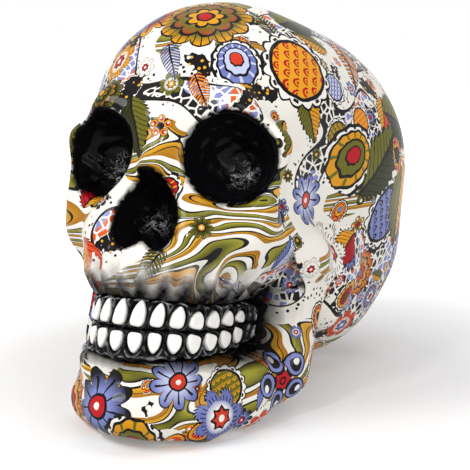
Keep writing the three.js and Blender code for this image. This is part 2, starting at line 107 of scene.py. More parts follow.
jawCorner = (0.356, -0.683, -1.3)
jawForms = [
    {"limb": ((0, -0.845, -1.333), (0.16, -0.82, -1.333)), "ends": (0.162, 0.16), "blend": 0},
    {"limb": ((0.16, -0.82, -1.333), jawCorner), "ends": (0.16, 0.147), "blend": 0.133},
    {"limb": (jawCorner, (0.511, -0.467, -1.178)), "ends": (0.147, 0.137), "blend": 0.2},
    {"limb": ((0.511, -0.467, -1.178), (0.622, -0.233, -1.011)), "ends": (0.137, 0.12), "blend": 0.2},
    {"limb": ((0, -0.925, -1.067), (0.235, -0.87, -1.067)), "ends": (0.105, 0.105), "blend": 0.17},
    {"limb": ((0.235, -0.87, -1.067), (0.467, -0.55, -0.956)), "ends": (0.105, 0.111), "blend": 0.17},
    {"limb": ((0.467, -0.55, -0.956), (0.622, -0.233, -0.844)), "ends": (0.111, 0.111), "blend": 0.2},
    {"ball": (0, -0.9, -1.367), "radii": (0.244, 0.117, 0.144), "blend": 0.111},
    {"limb": ((0.656, -0.233, -0.956), (0.756, -0.15, -0.178)), "ends": (0.122, 0.111), "blend": 0.22},
    {"limb": ((0.6, -0.367, -0.8), (0.711, -0.333, -0.267)), "ends": (0.111, 0.089), "blend": 0.22},
    {"ball": (0.533, -0.3, -0.578), "radii": (0.178, 0.2, 0.4), "blend": 0.22},
]

mouth = {
    "bite": [(0, -1.055, -0.887), (0.2, -1.018, -0.872), (0.367, -0.901, -0.845),
             (0.447, -0.72, -0.786), (0.48, -0.5, -0.697), (0.486, -0.4, -0.655)],
    "toothWidths": [4.7, 4.4, 4.8, 5.2, 6.0, 6.4, 6.0],
    "upperHeights": [7.4, 6.8, 6.3, 5.1, 5.0, 4.4, 3.6],
    "lowerHeights": [5.7, 5.7, 5.4, 5.3, 4.9, 5.1, 4.7],
    "toothSpace": 1.15,
    "biteGap": 0.8,
    "gumFront": 8.7,            # mm, how far the gums reach from the bite at the front and at the back
    "gumBack": 6.6,
    "endReach": 2.2,
    "seatDepth": 3.6,           # mm, how far behind the teeth's fronts the bone is cut away
    "endExtra": 2.8,            # mm, how far the gums' ends curl on past the last teeth
    "endSlope": 0.3,            # how steeply the bone slopes away beyond the ends of the gums
    "endSlopeFrom": 5.0,        # mm in front of the seat's back wall, where that slope begins
    "edgeSlopes": (1.1, 0.5),   # the same above the upper gum and below the lower one
    "edgeSlopeFrom": 3.5,
    "lip": 2.0,                 # mm, rounding of the bone's edge along the gums
    "coreTall": 2.0,            # mm, how far the bone behind the gums reaches past their edges
    "coreDeep": 23.0,
    "coreBlend": 3.0,
    "reachBack": -12,           # mm in the head's frame: the mouth's forms stay in front of this,
    "reachUp": 2,               # below this, above the next, and nearer the middle than the last
    "reachDown": -62,
    "reachSide": 36,
    "rootWidth": 1.8,           # mm, half the width of the ridges that the tooth roots raise
    "rootFront": (-16, -9),     # mm in front of the bite, where the ridges fade in
    "upperRoots": (6, 10, 13, 24),      # mm over the bite: they begin, are full, start to fade, and end
    "upperRidge": 2.1,          # mm, their height
    "lowerRoots": (6, 9, 10, 16),
    "lowerRidge": 0.6,
}

sizes = np.array([head["halfBreadth"], head["halfLength"], head["halfHeight"]], real)


def place(shares):
    return np.asarray(shares, real) * sizes


def onLeft(points):                 # the matching places on the left side, since both sides are alike
    mirrored = points.astype(real)
    mirrored[..., 0] = np.abs(mirrored[..., 0])
    return mirrored


# Distances are below zero inside, and roughly millimetres near the surface.
def ballAt(points, centre, radii):
    scaled = (points - np.asarray(centre, real)) / np.asarray(radii, real)
    reach = np.sqrt((scaled * scaled).sum(-1))
    steep = np.sqrt(((scaled / np.asarray(radii, real)) ** 2).sum(-1))
    return reach * (reach - 1) / np.maximum(steep, 1e-5)


def limbAt(points, start, end, ends):
    along = end - start
    share = np.clip(((points - start) @ along) / (along @ along), 0, 1)
    away = points - start - share[..., None] * along
    return np.sqrt((away * away).sum(-1)) - ends[0] - (ends[1] - ends[0]) * share


def softJoin(a, b, blend):
    if blend <= 0:
        return np.minimum(a, b)
    near = np.maximum(blend - np.abs(a - b), 0) / blend
    return np.minimum(a, b) - near * near * blend / 4


def softCut(solid, cutter, blend):
    return -softJoin(-solid, cutter, blend)


def formsAt(forms, points):
    total = None
    for form in forms:
        if "limb" in form:
            ends = [end * head["halfBreadth"] for end in form["ends"]]
            near = limbAt(points, place(form["limb"][0]), place(form["limb"][1]), ends)
        else:
            near = ballAt(points, place(form.get("ball") or form.get("hollow")), place(form["radii"]))
        blend = form["blend"] * head["halfBreadth"]
        if "hollow" in form:
            total = softCut(total, near, blend)
        else:
            total = near if total is None else softJoin(total, near, blend)
    return total


# The bite line, a smooth arch through the fronts of the teeth
def archThrough(points, steps=40):
    made = []
    ends = [2 * points[0] - points[1], *points, 2 * points[-1] - points[-2]]
    for i in range(len(points) - 1):
        p0, p1, p2, p3 = ends[i:i + 4]
        d0, d1, d2 = (np.linalg.norm(b - a) ** 0.5 for a, b in ((p0, p1), (p1, p2), (p2, p3)))
        t1 = ((p1 - p0) / d0 - (p2 - p0) / (d0 + d1) + (p2 - p1) / d1) * d1
        t2 = ((p2 - p1) / d1 - (p3 - p1) / (d1 + d2) + (p3 - p2) / d2) * d1
        square, cube = 3 * (p2 - p1) - 2 * t1 - t2, 2 * (p1 - p2) + t1 + t2
        for t in np.arange(steps) / steps:
            made.append(p1 + t1 * t + square * t * t + cube * t ** 3)
    return np.array([*made, points[-1]], float)


leftHalf = [place(shares).astype(float) for shares in mouth["bite"]]
biteLine = archThrough([p * (-1, 1, 1) for p in leftHalf[:0:-1]] + leftHalf)
biteSteps = np.linalg.norm(np.diff(biteLine, axis=0), axis=1)
biteRun = np.concatenate([[0], np.cumsum(biteSteps)])
biteRun -= biteRun[-1] / 2      # mm along the bite, 0 at the middle and positive to the skull's left
rowLength = sum(mouth["toothWidths"]) + len(mouth["toothWidths"]) * mouth["toothSpace"]
gumReach = rowLength + mouth["endReach"]
toothMiddles = np.array([
    sum(mouth["toothWidths"][:i]) + (i + 0.5) * mouth["toothSpace"] + mouth["toothWidths"][i] / 2
    for i in range(len(mouth["toothWidths"]))
])


# The point at a run along the bite, and the level directions along the bite and out of the mouth there.
def biteAt(run, probe=0.4):
    def lineAt(runs, axes):
        return np.stack([np.interp(runs, biteRun, biteLine[:, axis]) for axis in range(axes)], -1)

    along = lineAt(np.asarray(run) + probe, 2) - lineAt(np.asarray(run) - probe, 2)
    along = along / np.linalg.norm(along, axis=-1, keepdims=True)
    zero = np.zeros(along.shape[:-1] + (1,))
    outward = np.concatenate([along[..., 1:], -along[..., :1], zero], -1)
    return lineAt(run, 3), np.concatenate([along, zero], -1), outward


def gumTall(run):
    share = np.clip(np.abs(run) / gumReach, 0, 1)
    return mouth["gumFront"] + (mouth["gumBack"] - mouth["gumFront"]) * share


# Run along the bite, distance in front of it, and height over it, for points on the left side.
def mouthPlace(points):
    half = len(biteLine) // 2
    line, run = biteLine[half::3], biteRun[half::3]         # every third point is close enough
    flat = points[:, None, :2] - line[None, :, :2].astype(real)
    nearest = (flat * flat).sum(-1).argmin(1)
    _, along, outward = biteAt(run)
    gap = points - line[nearest].astype(real)
    forward = (gap * outward[nearest]).sum(-1)
    further = (gap * along[nearest]).sum(-1)
    return run[nearest] + further, forward, gap[:, 2]


# How far past the seat of the gums a point is, above or below it and beyond its ends.
def seatPast(run, forward, rise):
    out = forward + mouth["seatDepth"]
    slope = np.where(rise > 0, *mouth["edgeSlopes"])
    above = np.abs(rise) - gumTall(run) - slope * np.maximum(out - mouth["edgeSlopeFrom"], 0)
    sloped = mouth["endSlope"] * np.maximum(out - mouth["endSlopeFrom"], 0)
    return above, run - gumReach - mouth["endExtra"] - sloped


def smoothRamp(value, low, high):
    t = np.clip((value - low) / (high - low), 0, 1)
    return t * t * (3 - 2 * t)


def betweenRamps(amount, value, begins, full, fades, ends):
    return amount * smoothRamp(value, begins, full) * (1 - smoothRamp(value, fades, ends))


def hump(value, middle, width):
    return np.exp(-(((value - middle) / width) ** 2))


def fromTooth(run):                 # mm along the bite from the middle of the nearest tooth
    return np.abs(run[:, None] - toothMiddles).min(1)


def turned(points, centre, degrees):
    c, s = math.cos(math.radians(degrees)), math.sin(math.radians(degrees))
    off = points - np.asarray(centre, real)
    return np.stack([off[..., 0] * c + off[..., 1] * s, off[..., 1] * c - off[..., 0] * s, off[..., 2]], -1)


def orbitAt(points, inset=0.0):
    local = turned(points, place(head["orbitAt"]), head["orbitTurn"])
    return ballAt(local, (0, 0, 0), np.array(head["orbitRadii"]) - inset)


def noseAt(points, inset=0.0):
    low = ballAt(points, head["noseAt"], np.array(head["noseRadii"]) - inset)
    top = ballAt(points, head["noseTopAt"], np.array(head["noseTopRadii"]) - inset)
    return softJoin(low, top, head["noseBlend"])


lean = math.radians(head["leanDegrees"])


def standing(points):                # from the head's own frame to the part's frame
    c, s = math.cos(lean), math.sin(lean)
    x, y, z = points[..., 0], points[..., 1], points[..., 2]
    return np.stack([x, y * c + z * s, z * c - y * s], -1) + np.array(head["shift"], points.dtype)


def heightOf(points):
    return points[..., 2] * math.cos(lean) - points[..., 1] * math.sin(lean) + head["shift"][2]


def inMouthZone(points):
    x, y, z = points[..., 0], points[..., 1], points[..., 2]
    return (y < mouth["reachBack"]) & (z < mouth["reachUp"]) & (x < mouth["reachSide"])


# The whole casting, and how much nearer a point is to the cranium's forms than to the jaw's.
def castAt(points):
    p = onLeft(points)
    cranium, jaw = formsAt(craniumForms, p), formsAt(jawForms, p)
    body = softJoin(cranium, jaw, head["jawBlend"])
    zone = inMouthZone(p) & (p[..., 2] > mouth["reachDown"])
    if zone.any():
        run, forward, rise = mouthPlace(p[zone])
        bone = body[zone]
        ridge = hump(fromTooth(run), 0, mouth["rootWidth"])
        upper = betweenRamps(ridge, rise, *mouth["upperRoots"])
        lower = betweenRamps(ridge, -rise, *mouth["lowerRoots"])
        front = smoothRamp(forward, *mouth["rootFront"])
        bone = bone - (upper * mouth["upperRidge"] + lower * mouth["lowerRidge"]) * front
        core = np.maximum(np.abs(rise) - gumTall(run) - mouth["coreTall"], run - gumReach)
        core = np.maximum(core, -forward - mouth["coreDeep"])
        core = np.maximum(core, forward + mouth["seatDepth"])
        bone = softJoin(bone, core.astype(real), mouth["coreBlend"])
        above, beyond = seatPast(run, forward, rise)
        seat = np.maximum(np.maximum(above, beyond), -forward - mouth["seatDepth"])
        body[zone] = softCut(bone, seat.astype(real), mouth["lip"])
    body = softCut(body, orbitAt(p), head["orbitLip"])
    body = softCut(body, noseAt(p), head["noseLip"])
    return softCut(body, heightOf(p) - head["flatHeight"], head["heelBlend"]), cranium - jaw


print("meshing the casting")


def axisLines(low, high):
    return np.linspace(low, high, int(round((high - low) / head["gridStep"])) + 1).astype(real)


# A coarse grid first, then only the fine cells near the surface.
lines = [axisLines(0, head["high"][0])] + [axisLines(head["low"][i], head["high"][i]) for i in (1, 2)]
coarse = [line[::head["coarseEvery"]] for line in lines]
coarsePoints = np.stack(np.meshgrid(*coarse, indexing="ij"), -1)
coarseValues = castAt(coarsePoints.reshape(-1, 3))[0].reshape(coarsePoints.shape[:3])
nearestCoarse = [
    np.minimum((np.arange(len(line)) + head["coarseEvery"] // 2) // head["coarseEvery"], len(few) - 1)
    for line, few in zip(lines, coarse)
]
values = coarseValues[np.ix_(*nearestCoarse)]
bandWidth = head["coarseEvery"] * head["gridStep"] * 1.5        # mm to each side of the surface
close = np.abs(values) < bandWidth
finePoints = np.stack(np.meshgrid(*lines, indexing="ij"), -1)[close]
chunks = np.array_split(finePoints, 12)         # a few at a time, to spare memory
values[close] = np.concatenate([castAt(chunk)[0] for chunk in chunks])
values = np.concatenate([values[:0:-1], values])
lines[0] = np.concatenate([-lines[0][:0:-1], lines[0]])


# The surface of a grid of values: a vertex in each cell that it crosses, and a four-sided face round
# each grid edge that it crosses.
def surfaceNet(values, lines):
    inside = values < 0
    shape = np.array(values.shape) - 1
    corners = [(i, j, k) for i in (0, 1) for j in (0, 1) for k in (0, 1)]
    count = sum(inside[i:shape[0] + i, j:shape[1] + j, k:shape[2] + k].astype(np.int8)
                for i, j, k in corners)
    cells = np.argwhere((count > 0) & (count < len(corners)))
    number = np.full(shape, -1, np.int64)
    number[tuple(cells.T)] = np.arange(len(cells))
    total, crossings = np.zeros((len(cells), 3)), np.zeros(len(cells))
    for axis in range(3):
        step = np.eye(3, dtype=int)[axis]
        for corner in corners:
            if corner[axis]:
                continue
            a = cells + corner
            b = a + step
            va, vb = values[tuple(a.T)], values[tuple(b.T)]
            crossed = (va < 0) != (vb < 0)
            share = np.where(crossed, va / np.where(crossed, va - vb, 1), 0)
            pa = np.stack([lines[i][a[:, i]] for i in range(3)], -1)
            pb = np.stack([lines[i][b[:, i]] for i in range(3)], -1)
            total += np.where(crossed[:, None], pa + (pb - pa) * share[:, None], 0)
            crossings += crossed
    points = total / crossings[:, None]
    quads = []
    for axis in range(3):
        u, v = [(1, 2), (2, 0), (0, 1)][axis]
        step, su, sv = (np.eye(3, dtype=int)[i] for i in (axis, u, v))
        lowSide, highSide = [slice(None)] * 3, [slice(None)] * 3
        lowSide[axis], highSide[axis] = slice(0, -1), slice(1, None)
        crossed = np.argwhere(inside[tuple(lowSide)] != inside[tuple(highSide)])
        crossed = crossed[((crossed[:, [u, v]] > 0) & (crossed[:, [u, v]] < shape[[u, v]])).all(1)]
        ring = [crossed - su - sv, crossed - sv, crossed, crossed - su]
        quad = np.stack([number[tuple(cell.T)] for cell in ring], -1)
        outward = inside[tuple(crossed.T)]
        quad[~outward] = quad[~outward][:, ::-1]
        quads.append(quad)
    return points, np.concatenate(quads)


# Moves points on to the surface along its steepest slope, by a limited step a round.
def settle(points, field, rounds=2, probe=0.15, longest=0.6):
    for _ in range(rounds):
        value = field(points)
        slope = np.stack([(field(points + np.eye(3)[i] * probe) - value) / probe for i in range(3)], -1)
        steep = np.maximum((slope * slope).sum(-1), 0.05)
        points = points - slope * (np.clip(value, -longest, longest) / steep)[:, None]
    return points


castPoints, castQuads = surfaceNet(values, lines)
castPoints = settle(castPoints, lambda p: castAt(p.astype(real))[0].astype(float))
print("casting:", len(castPoints), "points,", len(castQuads), "faces")


def unit(vectors):
    return vectors / np.maximum(np.linalg.norm(vectors, axis=1, keepdims=True), 1e-12)


def faceNormals(points, faces):     # as long as twice the area of each face
    return np.cross(points[faces[:, 2]] - points[faces[:, 0]], points[faces[:, 3]] - points[faces[:, 1]])


def pointNormals(points, faces):
    normal = faceNormals(points, faces)
    total = np.zeros_like(points)
    for corner in range(4):
        np.add.at(total, faces[:, corner], normal)
    return unit(total)


castNormals = pointNormals(castPoints, castQuads)
castWorld = standing(castPoints)
castWorldNormals = standing(castPoints + castNormals) - castWorld

overspray = {                   # thin black sprayed round the gums and the pits, and painted shade as black in the root grooves and the hollows
    "noneAt": 50.0,             # mm from a gum, a distance at which none shows
    "clear": 0.5,               # mm from the gums and inside the pits, where motifs may begin
    "reachBack": -14,           # mm in front of the bite, as far back as it goes
    "slopeTo": 3.0,             # mm in front of the bite, as far as it follows the slopes of the seat
    "endFade": 1.9,             # how much sooner it fades past the gums' ends than above and below them
    "grooveWidth": 1.7,         # mm, half the width of the pale ridges between the dark root grooves
    "grooveRise": (7, 10, 13, 20),      # mm over the bite: grooves begin, are full, start to fade, and end
    "grooveBack": -12,
    "grooveEnds": 8,            # mm before the end of the row, over which they fade
    "probe": 5,                 # mm out from the surface, where the space tells how enclosed it is
}

leftPoints = onLeft(castPoints)
pitDistance = np.minimum(orbitAt(leftPoints), noseAt(leftPoints))
gumDistance = np.full(len(castPoints), overspray["noneAt"])
nearMouth = inMouthZone(leftPoints)
run, forward, rise = mouthPlace(leftPoints[nearMouth])
above = np.maximum(seatPast(run, np.minimum(forward, overspray["slopeTo"]), rise)[0], 0)
pastEnd = np.maximum(run - gumReach - mouth["endExtra"] - overspray["clear"], 0)
inFront = forward > overspray["reachBack"]
bare = np.ones(len(castPoints), bool)           # clear of the gums, so a motif may be there
bare[nearMouth] = ~inFront | (np.hypot(above, pastEnd) > overspray["clear"])
sprayed = np.hypot(above, overspray["endFade"] * pastEnd)
gumDistance[nearMouth] = np.where(inFront, sprayed, overspray["noneAt"])
between = 1 - hump(fromTooth(run), 0, overspray["grooveWidth"])
rootGroove = np.zeros(len(castPoints))
rootZone = np.zeros(len(castPoints))
upperZone = betweenRamps(1, rise, *overspray["grooveRise"])
upperZone = upperZone * (1 - smoothRamp(run, rowLength - overspray["grooveEnds"], rowLength))
upperZone = upperZone * (forward > overspray["grooveBack"])
# Painted shade: black between the root ridges, partly airbrush and partly the shade in the grooves
rootGroove[nearMouth] = between * upperZone
# Pales the crests of the root ridges: spray worn off, and painted highlight
rootZone[nearMouth] = (1 - 0.8 * between) * upperZone
# Painted shade: how enclosed the space just outside each point is, which darkens the hollows towards black
justOutside = castAt((castPoints + castNormals * overspray["probe"]).astype(real))[0]
hollowness = 1 - np.clip(justOutside / overspray["probe"], 0, 1)
sideOfSeam = castAt(castPoints.astype(real))[1]
# The middle of the face, where the ribbons sweep from the nose over the cheeks
faceShare = smoothRamp(-castPoints[:, 1], 28, 46) * smoothRamp(castPoints[:, 2], -42, -30)
faceShare = faceShare * smoothRamp(-castPoints[:, 2], -26, -12)
pointValues = {"pitDistance": pitDistance, "gumDistance": gumDistance, "hollowness": hollowness,
               "faceShare": faceShare, "rootGroove": rootGroove, "rootZone": rootZone}


# Print: motifs placed on the casting, in three layers
printLayout = {
    "seed": 16,
    "large": [                  # place in the head's frame, radius in mm, kind, palette, turn in degrees
        ((4, -58, 60), 15, 1, 0, 20),
        ((-24, -46, 58), 12, 7, 2, 10),
        ((33, -44, 44), 14, 4, 1, 100),
        ((26, -30, 70), 14, 2, 3, 60),
        ((46, 0, 30), 17, 2, 3, 75),
        ((46, 16, 46), 17, 2, 3, 20),
        ((46, 22, 22), 17, 2, 0, -40),
        ((47, 10, 34), 9, 3, 1, 0),
        ((44, -16, 26), 13, 5, 0, 70),
        ((40, 26, 66), 17, 1, 1, 0),
        ((44, 34, 40), 15, 4, 4, 30),
        ((44, -14, -2), 11, 7, 5, 30),
        ((20, 0, 76), 16, 5, 7, 200),
        ((-22, -10, 74), 18, 7, 2, 0),
        ((24, -44, -60), 10, 7, 2, 40),
        ((38, -26, -48), 11, 3, 6, 0),
        ((2, -52, -62), 10, 5, 0, 70),
        ((-20, -44, -60), 11, 1, 1, 0),
        ((-46, 4, 34), 22, 1, 0, 60),
        ((-40, -30, 50), 14, 6, 3, 20),
        ((0, 70, 30), 24, 0, 5, 0),
        ((34, 52, 26), 17, 6, 0, 45),
        ((-34, 48, 34), 20, 1, 2, 0),
        ((0, 46, 74), 22, 4, 1, 0),
    ],
    "middle": {"radii": (6.0, 14.0), "most": 140, "kinds": (0, 1, 2, 2, 3, 4, 5, 6, 7)},
    "small": {"radii": (2.2, 4.6), "most": 300, "kinds": (0, 2, 3, 5, 7)},
    "tries": 14,                # places tried for each motif that is wanted
    "smallBias": 1.6,           # above 1, more of the motifs are near the smallest radius
    "packing": 0.93,            # how close two motifs' middles may be, as a share of their radii together
    "overLarge": 0.55,          # share of a large motif's radius that stays clear
    "faceKept": 0.12,           # share of the scattered motifs kept in the middle of the face
    "palettes": 8,
    "reach": 1.04,              # how far out faces belong to a motif, in its radii
    "facing": 0.1,              # how much a face has to turn the same way as the motif's middle
}
motifCell = 4                   # width of each kind's strip of a layer's u, and of each palette's of its v
motifEdge = 1.9                 # the furthest place in a motif, in its radii
noMotif = -2.1                  # a place that is in no motif

faceMiddles = castPoints[castQuads].mean(1)
faceOut = unit(faceNormals(castPoints, castQuads))
printable = (pitDistance > -overspray["clear"]) & bare
draws = np.random.default_rng(printLayout["seed"])


def motifFrame(centre, normal, degrees):
    up = np.array([0.0, 0.3, 1.0])
    across = np.cross(up, normal)
    across /= np.linalg.norm(across)
    over = np.cross(normal, across)
    c, s = math.cos(math.radians(degrees)), math.sin(math.radians(degrees))
    return across * c + over * s, over * c - across * s


def largeLayer():
    made = []
    for at, radius, kind, palette, degrees in printLayout["large"]:
        nearest = ((castPoints - at) ** 2).sum(1).argmin()
        made.append((castPoints[nearest], castNormals[nearest], radius, kind, palette, degrees))
    return made


def scatteredLayer(radii, most, kinds, avoid):
    candidates = draws.permutation(np.flatnonzero(printable))[:most * printLayout["tries"]]
    middles, placed, made = np.zeros((0, 3)), np.zeros(0), []
    for index in candidates:
        radius = radii[0] + (radii[1] - radii[0]) * draws.random() ** printLayout["smallBias"]
        at = castPoints[index]
        room = printLayout["packing"] * (placed + radius)
        if len(middles) and (np.linalg.norm(middles - at, axis=1) < room).any():
            continue
        if any(np.linalg.norm(at - other[0]) < other[2] * printLayout["overLarge"] for other in avoid):
            continue
        if draws.random() > 1 - faceShare[index] * (1 - printLayout["faceKept"]):
            continue
        middles, placed = np.vstack([middles, at]), np.append(placed, radius)
        kind, palette = kinds[draws.integers(len(kinds))], int(draws.integers(printLayout["palettes"]))
        made.append((at, castNormals[index], radius, kind, palette, draws.uniform(0, 360)))
        if len(made) == most:
            break
    return made


# For each face the nearest motif that covers it, and then places in that motif for its corners.
def motifUvs(motifs):
    best, owner = np.full(len(castQuads), printLayout["reach"]), np.full(len(castQuads), -1)
    for i, (at, normal, radius, *_) in enumerate(motifs):
        share = np.linalg.norm(faceMiddles - at, axis=1) / radius
        taken = (share < best) & (faceOut @ normal > printLayout["facing"])
        best[taken], owner[taken] = share[taken], i
    uv = np.full((len(castQuads), 4, 2), noMotif)
    for i, (at, normal, radius, kind, palette, degrees) in enumerate(motifs):
        faces = np.flatnonzero(owner == i)
        if not len(faces):
            continue
        off = castPoints[castQuads[faces]] - at
        across, over = motifFrame(at, normal, degrees)
        flat = np.stack([off @ across, off @ over], -1)
        length = np.maximum(np.linalg.norm(flat, axis=-1, keepdims=True), 1e-9)
        flat *= np.minimum(np.linalg.norm(off, axis=-1, keepdims=True) / length, 2.0) / radius
        uv[faces] = np.clip(flat, -motifEdge, motifEdge) + (motifCell * kind, motifCell * palette)
    return uv


large = largeLayer()
middle = scatteredLayer(**printLayout["middle"], avoid=large)
small = scatteredLayer(**printLayout["small"], avoid=())
layerUvs = {"smallPrint": motifUvs(small), "middlePrint": motifUvs(middle), "largePrint": motifUvs(large)}
print("print:", len(large), "large,", len(middle), "middle and", len(small), "small motifs")


# Nodes and colours
def tone(hexColour):
    parts = [int(hexColour[i:i + 2], 16) / 255 for i in (1, 3, 5)]
    return (*(p / 12.92 if p <= 0.04045 else ((p + 0.055) / 1.055) ** 2.4 for p in parts), 1.0)


# Adds one node: feeds maps an input's name or number to a value, or to the output that feeds it.
def addNode(tree, kind, feeds=None, **settings):
    node = tree.nodes.new(kind)
    for name, value in settings.items():
        setattr(node, name, value)
    for key, value in (feeds or {}).items():
        if isinstance(value, bpy.types.NodeSocket):
            tree.links.new(value, node.inputs[key])
        else:
            node.inputs[key].default_value = value
    return node


# Works through lines such as "edge = MULTIPLY_ADD wave 0.4 0.5", with a node for each. OVER lays a value
# over another through a mask.
def workOut(tree, known, steps):
    for line in filter(None, steps.splitlines()):
        name, _, operation, *terms = line.split()
        terms = [known[term] if term in known else float(term) for term in terms]
        if operation == "OVER":
            made = addNode(tree, "ShaderNodeMix", {"Factor": terms[2], "A": terms[0], "B": terms[1]})
        else:
            made = addNode(tree, "ShaderNodeMath", dict(enumerate(terms)), operation=operation)
        known[name] = made.outputs[0]
    return known


def newMaterial(name):
    material = bpy.data.materials.new(name)
    material.use_nodes = True
    material.node_tree.nodes.clear()
    return material, material.node_tree


def every(spacing):                 # a texture's scale for a spacing in mm
    return 1 / (spacing * mm)


# The print's motifs, one node group used by each layer: a motif's tone is 0 for paper, 1 to 3 for its
# palette's main, second and accent colour, and 4 for ink, with shades between them.
palettes = {
    "paper": "#F4F1EA",
    "ink": "#0F0C0F",
    "main": ["#DE9A14", "#B9101C", "#6C76B4", "#6B681A", "#DF4A1A", "#F3EFE6", "#151214", "#E5A820"],
    "second": ["#6B681A", "#E9A11E", "#C3C9E8", "#2E3010", "#E5A01C", "#7680BE", "#8089C4", "#A80F1A"],
    "accent": ["#B9101C", "#151214", "#D33A22", "#DD9A1E", "#7A84C0", "#C31722", "#C01622", "#4A4A16"],
}

